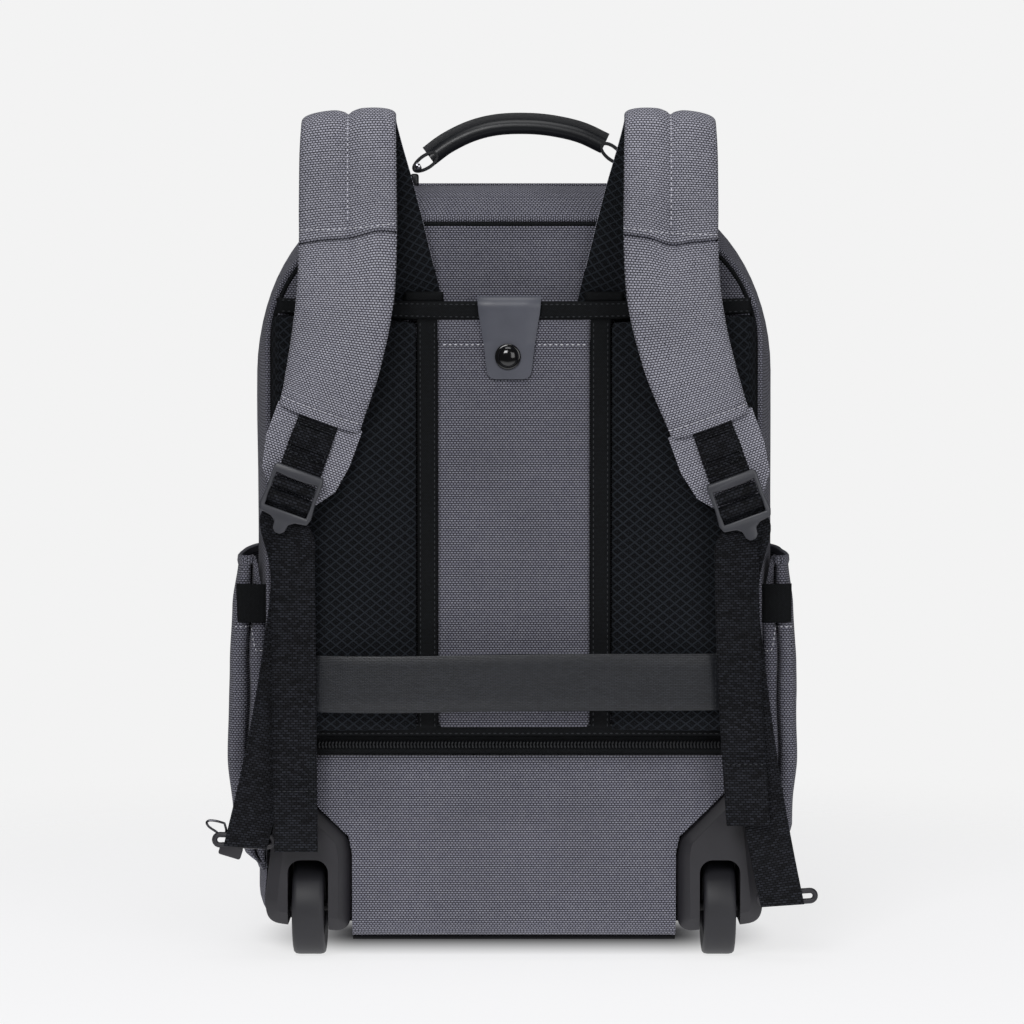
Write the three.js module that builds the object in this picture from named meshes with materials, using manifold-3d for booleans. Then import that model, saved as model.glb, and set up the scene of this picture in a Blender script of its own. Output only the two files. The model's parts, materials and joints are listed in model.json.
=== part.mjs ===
// A wheeled backpack: a soft hollow bag with a padded back overlay, shoulder straps that come out from
// behind it, side pockets, a grab handle, and two wheels in hard housings at its lower back corners.
// Millimetres, +Z up. The wearer's side faces -Y. The bag stands on its wheels and front feet at Z = 0.
import * as THREE from "three";
import { mergeVertices } from "three/addons/utils/BufferGeometryUtils.js";
import Module from "manifold-3d";

const wasm = await Module();
wasm.setup();

// Bag body
const GAP = 0.3;
const BODY_WIDTH = 320;
const BODY_TOP = 478;
const BODY_DEPTH = 190;
const GROUND = 12;
const SHELL_WALL = 3;
const PANEL_WALL = 4;
const SHOULDER_WIDE = 93;
const SHOULDER_HIGH = 128;
const FOOT_CORNER = 30;
const BACK_WIDTH = 305;
const BACK_DROP = 24;
const BACK_SHOULDER_WIDE = 75;
const BACK_SHOULDER_HIGH = 80;
const FRONT_WIDTH = 296;
const FRONT_DROP = 14;
const FRONT_CROWN = 12;
const PIPING = 1.8;

// Main zip flap
const FLAP_WIDTH = 22;
const FLAP_THICK = 2.6;
const FLAP_UP = 302;
const FLAP_ALONG = 0.56;

// Back overlay
const STOW_GAP = 7;
const OVERLAY_DROP = 75;
const TOP_TAPE = 11;
const TOP_TAPE_INSET = 4;
const TAPE_THICK = 3.5;
const TAPE_WIDTH = 12;
const PANEL_MARGIN = 4.4;
const CENTRE_WIDTH = 93;
const CENTRE_THICK = 3;
const PAD_THICK = 11;
const PAD_EDGE = 2.2;
const LOWER_HEIGHT = 111;
const LOWER_PUFF = 5;
const ZIP_TAPE = 8.4;
const ZIP_THICK = 1.6;
const COIL = 4;
const BINDING = 9;

// Luggage strap and closing tab
const LUGGAGE_HALF = 130;
const LUGGAGE_HIGH = 37;
const LUGGAGE_ABOVE = 6;
const LUGGAGE_BOW = 12;
const LUGGAGE_THICK = 1.8;
const TAB_WIDE = 36;
const TAB_NARROW = 22;
const TAB_LENGTH = 46;
const TAB_THICK = 2;
const SNAP_WIDE = 14;
const SNAP_HIGH = 4.5;
const SNAP_ABOVE_END = 13;

// Shoulder straps, each side with its own lie
const STRAP_WIDE = 62;
const STRAP_THICK = 13;
const STRAP_STAND = 36;
const STRAP_ABOVE = 39;
const STRAP_TUCK = 10;
const STRAP_SEAT = 3;
const STRAP_TURN = 20;
const STRAP_LIES = {
  left: { side: -1, base: 74, top: 101.5, hem: 118, drop: 183, tail: 136, tailEnd: 136, tailDrop: 273,
    lowerEnd: 166, lowerDrop: 271 },
  right: { side: 1, base: 70, top: 98.5, hem: 119.5, drop: 187, tail: 139, tailEnd: 148, tailDrop: 253,
    lowerEnd: 169, lowerDrop: 297 },
};

// Webbing, buckles and hooks
const WEBBING = 25;
const WEBBING_THICK = 1.6;
const PATCH_LENGTH = 50;
const PATCH_WIDE = 53;
const PATCH_THICK = 2.4;
const STUB_LENGTH = 43;
const BUCKLE_WIDE = 33;
const BUCKLE_LONG = 34;
const BUCKLE_THICK = 5;
const BUCKLE_TIP = 9;
const BUCKLE_FROM_HEM = 37.5;
const BAR = 4;
const SLOT = 6;
const HOOK_WIRE = 1.1;
const HOOK_REACH = 12;
const HOOK_TIP = 189;
const HOOK_BODY = 17;

// Grab handle
const HANDLE_HALF = 52;
const HANDLE_RISE = 24;
const HANDLE_CLEAR = 19;
const HANDLE_TUBE = 9.5;
const HANDLE_RIDGE = 4;
const HANDLE_Y = 50;
const LOOP_WIDE = 10;
const LOOP_DEEP = 18;
const PIN = 1.6;
const PIN_LENGTH = 24;

// Wheels, housings and feet
const WHEEL = 60;
const WHEEL_WIDE = 20;
const WHEEL_FROM_SIDE = 33;
const WHEEL_Y = 22;
const HUB = 38;
const HUB_WIDE = 16;
const AXLE = 6.4;
const WHEEL_CLEAR = 2.5;
const HOUSING_WIDE = 54;
const HOUSING_HIGH = 95;
const HOUSING_PAST_WHEEL = 26.6;
const HOUSING_PROUD = 5;
const HOUSING_BACK = 66;
const HOUSING_BEVEL = 3;
const FOOT_FROM_SIDE = 64;
const FOOT_Y = 158;
const FOOT_WIDE = 20;

// Side pockets
const POCKET_OUT = 17;
const POCKET_DEEP = 138;
const POCKET_FROM = 7;
const POCKET_MOUTH = 251;
const POCKET_FOOT = 56;
const POCKET_WALL = 2;
const ELASTIC_HIGH = 23;
const ELASTIC_BELOW = 22;
const ELASTIC_THICK = 1.4;

// Where the body's outline stands between the panel edges and its full width, along its depth
const BODY_ROWS = [
  { along: 0, bulge: 0 },
  { along: 0.03, bulge: 0.35 },
  { along: 0.1, bulge: 0.75 },
  { along: 0.22, bulge: 1 },
  { along: 0.78, bulge: 1 },
  { along: 0.93, bulge: 0.6 },
  { along: 1, bulge: 0 },
];

// The crown of the front panel, from its edge inwards: share of its size and of its crown
const CROWN_ROWS = [
  { size: 1, rise: 0 },
  { size: 0.93, rise: 0.4 },
  { size: 0.75, rise: 0.8 },
  { size: 0.4, rise: 1 },
];

// A mesh pad across, from its sewn outer edge to the tape: front and hollow back as shares of its depth
const PAD_FRONT = [
  { across: 0, rise: 0 },
  { across: 0.05, rise: 0.45 },
  { across: 0.18, rise: 0.86 },
  { across: 0.45, rise: 1 },
  { across: 0.8, rise: 0.86 },
  { across: 0.95, rise: 0.5 },
  { across: 1, rise: 0.12 },
];
const PAD_ENDS = [
  { up: 0, rise: 0.6 },
  { up: 0.03, rise: 0.88 },
  { up: 0.1, rise: 1 },
  { up: 0.9, rise: 1 },
  { up: 0.97, rise: 0.88 },
  { up: 1, rise: 0.6 },
];

// A shoulder strap from its sewn end, up and over, to its hem: the way along its rise or its drop,
// its lean across, its stand-off, its turn, and its width and thickness, all as shares
const STRAP_ROWS = [
  { run: "rise", way: 0, lean: 0, out: 0, turn: -0.65, wide: 1, thick: 0.34 },
  { run: "rise", way: 0.1, lean: 0.1, out: 0.005, turn: -0.65, wide: 1, thick: 0.36 },
  { run: "rise", way: 0.28, lean: 0.28, out: 0.14, turn: -0.65, wide: 1, thick: 0.95 },
  { run: "rise", way: 0.6, lean: 0.62, out: 0.15, turn: -0.55, wide: 1, thick: 1 },
  { run: "rise", way: 0.85, lean: 0.9, out: 0.15, turn: -0.4, wide: 0.98, thick: 1 },
  { run: "rise", way: 0.96, lean: 1, out: 0.26, turn: -0.3, wide: 0.97, thick: 0.92 },
  { run: "rise", way: 1, lean: 1, out: 0.53, turn: -0.22, wide: 0.97, thick: 0.86 },
  { run: "drop", way: 0.035, lean: 0, out: 0.82, turn: -0.22, wide: 0.97, thick: 0.92 },
  { run: "drop", way: 0.12, lean: 0, out: 0.96, turn: -0.2, wide: 0.99, thick: 1 },
  { run: "drop", way: 0.3, lean: 0, out: 1.03, turn: -0.2, wide: 1, thick: 1 },
  { run: "drop", way: 0.42, lean: 0, out: 1.03, turn: -0.2, wide: 1, thick: 0.9 },
  { run: "drop", way: 0.6, lean: 0.1, out: 1.02, turn: 0.1, wide: 1, thick: 1 },
  { run: "drop", way: 0.8, lean: 0.45, out: 0.95, turn: 0.6, wide: 0.95, thick: 0.95 },
  { run: "drop", way: 0.93, lean: 0.8, out: 0.82, turn: 0.95, wide: 0.89, thick: 0.85 },
  { run: "drop", way: 1, lean: 1, out: 0.74, turn: 1, wide: 0.87, thick: 0.7 },
];

// The strap's section: two puffed lobes beside a sewn valley, and a nearly flat inner face
const STRAP_SECTION = [
  { across: -1, rise: 0.42 },
  { across: -0.92, rise: 0.84 },
  { across: -0.62, rise: 1 },
  { across: -0.28, rise: 0.94 },
  { across: 0, rise: 0.62 },
  { across: 0.28, rise: 0.94 },
  { across: 0.62, rise: 1 },
  { across: 0.92, rise: 0.84 },
  { across: 1, rise: 0.42 },
  { across: 0.9, rise: 0.06 },
  { across: 0, rise: 0 },
  { across: -0.9, rise: 0.06 },
];
const FLAT_SECTION = [
  { across: -1, rise: 0 },
  { across: -1, rise: 1 },
  { across: 1, rise: 1 },
  { across: 1, rise: 0 },
];

// A side pocket along its depth, with the pleat by the back panel, and up its height
const POCKET_ALONG = [
  { along: 0, out: 0 },
  { along: 0.03, out: 0.4 },
  { along: 0.06, out: 0.62 },
  { along: 0.1, out: 0.5 },
  { along: 0.14, out: 0.82 },
  { along: 0.24, out: 0.97 },
  { along: 0.45, out: 1 },
  { along: 0.72, out: 0.95 },
  { along: 0.9, out: 0.7 },
  { along: 0.97, out: 0.4 },
  { along: 1, out: 0 },
];
const POCKET_UP = [
  { up: 0, out: 0 },
  { up: 0.05, out: 0.55 },
  { up: 0.13, out: 0.86 },
  { up: 0.35, out: 1 },
  { up: 0.7, out: 0.98 },
  { up: 0.88, out: 0.9 },
  { up: 1, out: 0.92 },
];

// The wheel housing's outline from the back: shares of its width, outwards, and of its height
const HOUSING_OUTLINE = [
  { across: 0.1, up: 0 },
  { across: 0, up: 0.05 },
  { across: 0, up: 0.57 },
  { across: 0.04, up: 0.68 },
  { across: 0.6, up: 1 },
  { across: 0.85, up: 1 },
  { across: 0.91, up: 0.65 },
  { across: 0.99, up: 0.22 },
  { across: 0.98, up: 0.08 },
  { across: 0.9, up: 0 },
];

// The grab handle's run, from its left end to its right end
const HANDLE_ROWS = [
  { across: -1, rise: 0 },
  { across: -0.8, rise: 0.42 },
  { across: -0.5, rise: 0.8 },
  { across: -0.2, rise: 0.97 },
  { across: 0.2, rise: 1 },
  { across: 0.5, rise: 0.88 },
  { across: 0.8, rise: 0.55 },
  { across: 1, rise: 0.2 },
];
const HANDLE_SECTION = [
  { across: -0.16, rise: 1.42 },
  { across: 0.16, rise: 1.42 },
  { across: 0.2, rise: 0.99 },
  { across: 0.75, rise: 0.85 },
  { across: 1, rise: 0.5 },
  { across: 0.7, rise: 0.12 },
  { across: 0, rise: 0 },
  { across: -0.7, rise: 0.12 },
  { across: -1, rise: 0.5 },
  { across: -0.75, rise: 0.85 },
  { across: -0.2, rise: 0.99 },
];

const OVERLAY_TOP = BODY_TOP - OVERLAY_DROP;
const WHEEL_ACROSS = BODY_WIDTH / 2 - WHEEL_FROM_SIDE;
const HOUSING_INNER = WHEEL_ACROSS - HOUSING_PAST_WHEEL;
const FOOT_ACROSS = BODY_WIDTH / 2 - FOOT_FROM_SIDE;
const LOWER_TOP = GROUND + 2 + LOWER_HEIGHT;
const ZIP_FROM = LOWER_TOP + GAP;
const BINDING_FROM = ZIP_FROM + ZIP_TAPE + GAP;
const PAD_FROM = BINDING_FROM + BINDING + GAP;
const PAD_TO = OVERLAY_TOP - TOP_TAPE - GAP;
const PAD_INNER = CENTRE_WIDTH / 2 + TAPE_WIDTH + 2 * GAP;
const FULL = { half: BODY_WIDTH / 2, top: BODY_TOP, wide: SHOULDER_WIDE, high: SHOULDER_HIGH };
const BACK = {
  half: BACK_WIDTH / 2,
  top: BODY_TOP - BACK_DROP,
  wide: BACK_SHOULDER_WIDE,
  high: BACK_SHOULDER_HIGH,
};
const FRONT = {
  half: FRONT_WIDTH / 2,
  top: BODY_TOP - FRONT_DROP,
  wide: SHOULDER_WIDE,
  high: SHOULDER_HIGH,
};
const SHELL_FROM = PANEL_WALL + GAP;
const SHELL_TO = BODY_DEPTH - PANEL_WALL - GAP;

const part = new THREE.Group();
const FINISH = {
  cloth: new THREE.MeshStandardMaterial({ color: "#5c5c66", roughness: 0.9 }),
  mesh: new THREE.MeshStandardMaterial({ color: "#1c1e22", roughness: 0.95 }),
  webbing: new THREE.MeshStandardMaterial({ color: "#17191d", roughness: 0.7 }),
  plastic: new THREE.MeshStandardMaterial({ color: "#2d2c31", roughness: 0.6 }),
  leather: new THREE.MeshStandardMaterial({ color: "#3d3f45", roughness: 0.45 }),
  steel: new THREE.MeshStandardMaterial({ color: "#b8b8bd", roughness: 0.25, metalness: 1 }),
  rubber: new THREE.MeshStandardMaterial({ color: "#333338", roughness: 0.8 }),
};

function add(name, geometry, finish, parent = part) {
  const mesh = new THREE.Mesh(geometry, FINISH[finish]);
  mesh.name = name;
  parent.add(mesh);
  return mesh;
}

// The same surface with shared corners and its faces turned outwards
function outward(geometry) {
  const bare = geometry.clone();
  bare.deleteAttribute("normal");
  bare.deleteAttribute("uv");
  const made = mergeVertices(bare, 1e-4);
  const at = made.attributes.position;
  const index = made.index.array;
  const [a, b, c] = [new THREE.Vector3(), new THREE.Vector3(), new THREE.Vector3()];
  let volume = 0;
  for (let i = 0; i < index.length; i += 3) {
    a.fromBufferAttribute(at, index[i]);
    b.fromBufferAttribute(at, index[i + 1]);
    c.fromBufferAttribute(at, index[i + 2]);
    volume += a.dot(b.cross(c));
  }
  if (volume < 0) {
    for (let i = 0; i < index.length; i += 3) {
      [index[i + 1], index[i + 2]] = [index[i + 2], index[i + 1]];
    }
  }
  made.computeVertexNormals();
  return made;
}

function solidOf(geometry) {
  const made = outward(geometry);
  return new wasm.Manifold(
    new wasm.Mesh({
      numProp: 3,
      vertProperties: made.attributes.position.array,
      triVerts: new Uint32Array(made.index.array),
    }),
  );
}

function geometryOf(solid) {
  const mesh = solid.getMesh();
  const made = new THREE.BufferGeometry();
  made.setAttribute("position", new THREE.BufferAttribute(new Float32Array(mesh.vertProperties), 3));
  made.setIndex(new THREE.BufferAttribute(new Uint32Array(mesh.triVerts), 1));
  made.computeVertexNormals();
  return made;
}

function cut(geometry, ...tools) {
  return geometryOf(tools.reduce((left, tool) => left.subtract(solidOf(tool)), solidOf(geometry)));
}

function join(...pieces) {
  return geometryOf(pieces.map(solidOf).reduce((all, piece) => all.add(piece)));
}

// The triangles that close a nearly flat ring, each wound as the ring is. A ring with corners in line
// closes round its middle, which comes after its own points.
function capOf(ring) {
  const from = ring[0];
  const normal = new THREE.Vector3();
  const arms = ring.map((p) => p.clone().sub(from));
  arms.forEach((arm, i) => normal.add(arm.clone().cross(arms[(i + 1) % arms.length])));
  const level = new THREE.Quaternion().setFromUnitVectors(normal.normalize(), new THREE.Vector3(0, 0, 1));
  const contour = arms.map((arm) => {
    const { x, y } = arm.applyQuaternion(level);
    return new THREE.Vector2(x, y);
  });
  const found = THREE.ShapeUtils.triangulateShape(contour, []);
  if (found.length < ring.length - 2) return ring.map((_, i) => [ring.length, i, (i + 1) % ring.length]);
  const area = found.reduce((sum, face) => sum + THREE.ShapeUtils.area(face.map((p) => contour[p])), 0);
  return area < 0 ? found.map(([p, q, r]) => [p, r, q]) : found;
}

// A skin through rings of as many points each: closed round on itself, or ended in caps
function loft(rings, wrap = false) {
  const count = rings[0].length;
  const points = rings.flat();
  const faces = [];
  const spans = wrap ? rings.length : rings.length - 1;
  for (let r = 0; r < spans; r++) {
    const a = r * count;
    const b = ((r + 1) % rings.length) * count;
    for (let i = 0; i < count; i++) {
      const j = (i + 1) % count;
      faces.push(a + i, a + j, b + j, a + i, b + j, b + i);
    }
  }
  if (!wrap) {
    for (const [start, turned] of [[0, true], [points.length - count, false]]) {
      const ring = points.slice(start, start + count);
      const middle = ring.reduce((sum, p) => sum.add(p), new THREE.Vector3()).divideScalar(count);
      const at = (p) => (p === count ? points.length - 1 : start + p);
      const cap = capOf(ring);
      if (cap.flat().includes(count)) points.push(middle);
      for (const [p, q, r] of cap) faces.push(at(p), at(turned ? r : q), at(turned ? q : r));
    }
  }
  const made = new THREE.BufferGeometry().setFromPoints(points);
  made.setIndex(faces);
  return outward(made);
}

// The value of a table's column at a place between its rows
function between(rows, place, key, column) {
  const next = Math.max(1, rows.findIndex((row) => row[key] >= place));
  const [low, high] = [rows[next - 1], rows[next]];
  return THREE.MathUtils.mapLinear(place, low[key], high[key], low[column], high[column]);
}

// A strip or bar swept through rows of places, each with a turn in degrees, a half width and a thickness
function sweep(rows, section, steps) {
  const curve = new THREE.CatmullRomCurve3(rows.map((row) => new THREE.Vector3(row.x, row.y, row.z)));
  const column = (t, name) => {
    const low = Math.min(rows.length - 2, Math.floor(t * (rows.length - 1)));
    return THREE.MathUtils.lerp(rows[low][name], rows[low + 1][name], t * (rows.length - 1) - low);
  };
  return loft(
    Array.from({ length: steps + 1 }, (_, i) => {
      const t = i / steps;
      const turn = THREE.MathUtils.degToRad(column(t, "turn"));
      const wide = new THREE.Vector3(Math.cos(turn), 0, -Math.sin(turn));
      const deep = curve.getTangent(t).cross(wide).normalize();
      return section.map(({ across, rise }) =>
        curve
          .getPoint(t)
          .addScaledVector(wide, across * column(t, "half"))
          .addScaledVector(deep, (rise - 0.5) * column(t, "thick")),
      );
    }),
  );
}

function box(low, high) {
  const size = high.map((value, i) => value - low[i]);
  const middle = high.map((value, i) => (value + low[i]) / 2);
  return new THREE.BoxGeometry(...size).translate(...middle);
}

// A flat outline in X and Z, made solid from one Y to another
function slab(shape, front, back, bevel = 0) {
  const depth = back - front - 2 * bevel;
  const made = new THREE.ExtrudeGeometry(shape, {
    depth,
    curveSegments: 4,
    bevelEnabled: bevel > 0,
    bevelSize: bevel,
    bevelOffset: -bevel,
    bevelThickness: bevel,
    bevelSegments: 1,
  });
  return made.rotateX(Math.PI / 2).translate(0, back - bevel, 0);
}

// The body's cross-section outline at one depth, drawn in by an inset
function outline({ half, top, wide, high }, y, inset = 0) {
  const [side, crown, foot] = [half - inset, top - inset, FOOT_CORNER - inset];
  const [across, up] = [wide - inset, high - inset];
  const base = GROUND + inset;
  const right = [];
  for (let k = 0; k <= 4; k++) {
    const turn = (k / 4 - 1) * (Math.PI / 2);
    right.push([side - foot + foot * Math.cos(turn), base + foot + foot * Math.sin(turn)]);
  }
  for (const share of [1 / 3, 2 / 3]) {
    right.push([side, THREE.MathUtils.lerp(base + foot, crown - up, share)]);
  }
  for (let k = 0; k <= 11; k++) {
    const turn = (k / 11) * (Math.PI / 2);
    right.push([side - across + across * Math.cos(turn), crown - up + up * Math.sin(turn)]);
  }
  const left = right.map(([x, z]) => [-x, z]).reverse();
  return [[0, base], ...right, [0, crown], ...left].map(([x, z]) => new THREE.Vector3(x, y, z));
}

function sectionAt(along) {
  const bulge = between(BODY_ROWS, along, "along", "bulge");
  const end = along < 0.5 ? BACK : FRONT;
  return Object.fromEntries(
    Object.keys(FULL).map((key) => [key, THREE.MathUtils.lerp(end[key], FULL[key], bulge)]),
  );
}

const yAt = (along) => THREE.MathUtils.lerp(SHELL_FROM, SHELL_TO, along);
const alongAt = (y) => THREE.MathUtils.clamp((y - SHELL_FROM) / (SHELL_TO - SHELL_FROM), 0, 1);

function housingShape(grow = 0) {
  const middle = { across: 0.5, up: 0.5 };
  return new THREE.Shape(
    HOUSING_OUTLINE.map(({ across, up }) => {
      const x = HOUSING_INNER + across * HOUSING_WIDE + Math.sign(across - middle.across) * grow;
      return new THREE.Vector2(x, GROUND + up * HOUSING_HIGH + Math.sign(up - middle.up) * grow);
    }),
  );
}

// Both corners that the wheel housings take up, with their clearance
function housingRoom() {
  const right = slab(housingShape(2 * GAP), -HOUSING_PROUD - BODY_DEPTH / 4, HOUSING_BACK + GAP);
  return [right, right.clone().scale(-1, 1, 1)];
}

function addBody() {
  const outer = BODY_ROWS.map(({ along }) => outline(sectionAt(along), yAt(along)));
  const inner = BODY_ROWS.map(({ along }) => outline(sectionAt(along), yAt(along), SHELL_WALL)).reverse();
  add("main_shell", cut(loft([...outer, ...inner], true), ...housingRoom()), "cloth");
  const rim = 2 * PIPING + GAP;
  const wall = loft([outline(BACK, 0, rim), outline(BACK, PANEL_WALL, rim)]);
  add("back_wall", cut(wall, ...housingRoom()), "cloth");
  add("front_panel", frontPanel(rim), "cloth");
  add("piping_back", piping(BACK, PANEL_WALL - PIPING, GROUND + HOUSING_HIGH), "webbing");
  add("piping_front", piping(FRONT, BODY_DEPTH - PANEL_WALL + PIPING, GROUND), "webbing");
}

function frontPanel(rim) {
  const edge = outline(FRONT, 0, rim);
  const heart = new THREE.Vector3(0, 0, (FRONT.top + GROUND) / 2);
  const face = (from) =>
    CROWN_ROWS.map(({ size, rise }) =>
      edge.map((p) => p.clone().sub(heart).multiplyScalar(size).add(heart).setY(from + rise * FRONT_CROWN)),
    );
  return loft([...face(BODY_DEPTH - PANEL_WALL).reverse(), ...face(BODY_DEPTH)]);
}

// A cord sewn round the outline at one depth, open below the height where it starts
function piping(section, y, from) {
  const line = outline(section, y, PIPING);
  const kept = [...line.slice(1), line[0]].filter((p) => p.z > from);
  const closed = kept.length === line.length;
  const end = new THREE.Vector3(section.half - PIPING, y, from);
  const route = closed ? kept : [end, ...kept, end.clone().setX(-end.x)];
  const ring = (p, i) => {
    const before = route[closed ? (i + route.length - 1) % route.length : Math.max(0, i - 1)];
    const after = route[closed ? (i + 1) % route.length : Math.min(route.length - 1, i + 1)];
    const across = after.clone().sub(before).cross(new THREE.Vector3(0, 1, 0)).normalize();
    return Array.from({ length: 5 }, (_, k) => {
      const turn = (k / 5) * 2 * Math.PI;
      const place = p.clone().addScaledVector(across, PIPING * Math.cos(turn));
      return place.setY(y + PIPING * Math.sin(turn));
    });
  };
  return loft(route.map(ring), closed);
}

// The storm flap over the main zip, round the gusset from one side over the top to the other
function addZipFlap() {
  const line = outline(FULL, yAt(FLAP_ALONG), -GAP).slice(1);
  const route = line.filter((p) => p.z > FLAP_UP + 10);
  const first = new THREE.Vector3(FULL.half + GAP, route[0].y, FLAP_UP);
  const run = [first, ...route, first.clone().setX(-first.x)];
  const rings = run.map((p, i) => {
    const way = run[Math.min(run.length - 1, i + 1)].clone().sub(run[Math.max(0, i - 1)]);
    const out = way.cross(new THREE.Vector3(0, 1, 0)).normalize();
    if (out.dot(p.clone().sub(new THREE.Vector3(0, p.y, FLAP_UP))) < 0) out.negate();
    return [[0, -1], [0, 1], [1, 0.8], [1, -0.8]].map(([rise, wide]) =>
      p.clone().addScaledVector(out, GAP + rise * FLAP_THICK).setY(p.y + (wide * FLAP_WIDTH) / 2),
    );
  });
  add("main_zip_flap", loft(rings), "webbing");
}

const padLift = (rise) => STOW_GAP + THREE.MathUtils.lerp(PAD_EDGE, PAD_THICK, rise);

function addOverlay() {
  const half = BACK.half - PANEL_MARGIN;
  const tapeInner = CENTRE_WIDTH / 2 + GAP;
  for (const [name, side] of [["left", -1], ["right", 1]]) {
    const x = (share) => side * THREE.MathUtils.lerp(half, PAD_INNER, share);
    const rings = PAD_ENDS.map(({ up, rise: end }) => {
      const z = THREE.MathUtils.lerp(PAD_FROM, PAD_TO, up);
      const front = PAD_FRONT.map(({ across, rise }) => {
        const lift = across === 0 ? PAD_EDGE : padLift(rise * end);
        return new THREE.Vector3(x(across), -GAP - lift, z);
      });
      const back = [[1, STOW_GAP], [0.16, STOW_GAP], [0.1, 0], [0, 0]].map(
        ([across, deepness]) => new THREE.Vector3(x(across), -GAP - deepness, z),
      );
      return [...front, ...back];
    });
    add(`mesh_pad_${name}`, loft(rings), "mesh");
    const tapeOuter = tapeInner + TAPE_WIDTH;
    const tape = box([tapeInner, -STOW_GAP - TAPE_THICK, PAD_FROM], [tapeOuter, -STOW_GAP, PAD_TO]);
    add(`tape_${name}`, outward(tape.scale(side, 1, 1)), "webbing");
  }
  const reach = CENTRE_WIDTH / 2;
  const centre = box([-reach, -STOW_GAP - CENTRE_THICK, PAD_FROM], [reach, -STOW_GAP, PAD_TO]);
  add("centre_panel", centre, "cloth");
  const ends = half - TOP_TAPE_INSET;
  const top = box([-ends, -STOW_GAP - TAPE_THICK, PAD_TO + GAP], [ends, -STOW_GAP, OVERLAY_TOP]);
  add("top_tape", top, "webbing");
  const closed = -STOW_GAP - CENTRE_THICK;
  add("bottom_binding", box([-half, closed, BINDING_FROM], [half, -GAP, PAD_FROM - GAP]), "webbing");
}

// The lower cloth panel and the coil zip above it
function addLowerBack() {
  const half = BACK.half - PANEL_MARGIN;
  const low = GROUND + 2;
  const ring = (inset, y) =>
    [[-1, low], [1, low], [1, LOWER_TOP], [-1, LOWER_TOP]].map(
      ([side, z]) => new THREE.Vector3(side * (half - inset), -y, z + (z === low ? inset : -inset)),
    );
  const swell = [[0, GAP], [0, 0.4 * LOWER_PUFF], [5, 0.8 * LOWER_PUFF], [14, LOWER_PUFF]];
  const panel = loft(swell.map(([inset, y]) => ring(inset, y)));
  add("lower_panel", cut(panel, ...housingRoom()), "cloth");
  const middle = ZIP_FROM + ZIP_TAPE / 2;
  const tape = box([-half, -GAP - ZIP_THICK, ZIP_FROM], [half, -GAP, ZIP_FROM + ZIP_TAPE]);
  const coilFrom = -GAP - 2 * ZIP_THICK;
  const coil = box([-half, coilFrom, middle - COIL / 2], [half, -GAP - ZIP_THICK / 2, middle + COIL / 2]);
  add("lower_zip", join(tape, coil), "webbing");
}

// The band that slips over another case's handle: sewn down at both ends, bowed out between
function addLuggageStrap() {
  const z = PAD_FROM + LUGGAGE_ABOVE + LUGGAGE_HIGH / 2;
  const across = (BACK.half - PANEL_MARGIN - LUGGAGE_HALF) / (BACK.half - PANEL_MARGIN - PAD_INNER);
  const seat = -padLift(between(PAD_FRONT, across, "across", "rise")) - 2 * GAP - LUGGAGE_THICK / 2;
  const rows = Array.from({ length: 13 }, (_, i) => {
    const share = i / 6 - 1;
    const bow = LUGGAGE_BOW * (1 - share ** 4);
    return { x: share * LUGGAGE_HALF, y: seat - bow, z };
  });
  const rings = rows.map(({ x, y }) =>
    [[-1, 0.5], [1, 0.5], [1, -0.5], [-1, -0.5]].map(
      ([up, deep]) => new THREE.Vector3(x, y + deep * LUGGAGE_THICK, z + (up * LUGGAGE_HIGH) / 2),
    ),
  );
  add("luggage_strap", loft(rings), "webbing");
}

// The leather tab that closes the stowing space: out of its mouth, over the tape and down to its snap
function addLeatherTab() {
  const front = -STOW_GAP - TAPE_THICK - GAP - TAB_THICK / 2;
  const inside = -GAP - TAB_THICK / 2 - 0.4;
  const over = OVERLAY_TOP + 2 * GAP + TAB_THICK / 2;
  const end = OVERLAY_TOP - TAB_LENGTH;
  const rows = [
    { y: inside, z: OVERLAY_TOP - 8, half: TAB_WIDE / 2 },
    { y: inside - 0.2, z: OVERLAY_TOP - 1, half: TAB_WIDE / 2 },
    { y: inside - 1.6, z: over + 0.2, half: TAB_WIDE / 2 },
    { y: (inside + front) / 2, z: over + 0.8, half: TAB_WIDE / 2 },
    { y: front + 1.2, z: over + 0.4, half: TAB_WIDE / 2 },
    { y: front - 0.4, z: OVERLAY_TOP - 0.6, half: TAB_WIDE / 2 },
    { y: front - 0.3, z: OVERLAY_TOP - 6, half: TAB_WIDE / 2 },
    { y: front - 0.1, z: OVERLAY_TOP - 16, half: TAB_WIDE / 2 - 3 },
    { y: front, z: end + 14, half: TAB_NARROW / 2 + 0.5 },
    { y: front, z: end + 3, half: TAB_NARROW / 2 },
    { y: front, z: end, half: TAB_NARROW / 2 - 3 },
  ].map((row) => ({ x: 0, turn: 0, thick: TAB_THICK, ...row }));
  add("leather_tab", sweep(rows, FLAT_SECTION, 22), "leather");
  const profile = [[0, 0], [0.95, 0], [1, 0.25], [0.8, 0.72], [0.45, 0.95], [0, 1]];
  const dome = new THREE.LatheGeometry(
    profile.map(([r, h]) => new THREE.Vector2((r * SNAP_WIDE) / 2, h * SNAP_HIGH)),
    16,
  );
  dome.scale(1, -1, 1).translate(0, front - TAB_THICK / 2 - GAP, end + SNAP_ABOVE_END);
  add("snap_button", outward(dome), "plastic");
}

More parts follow.
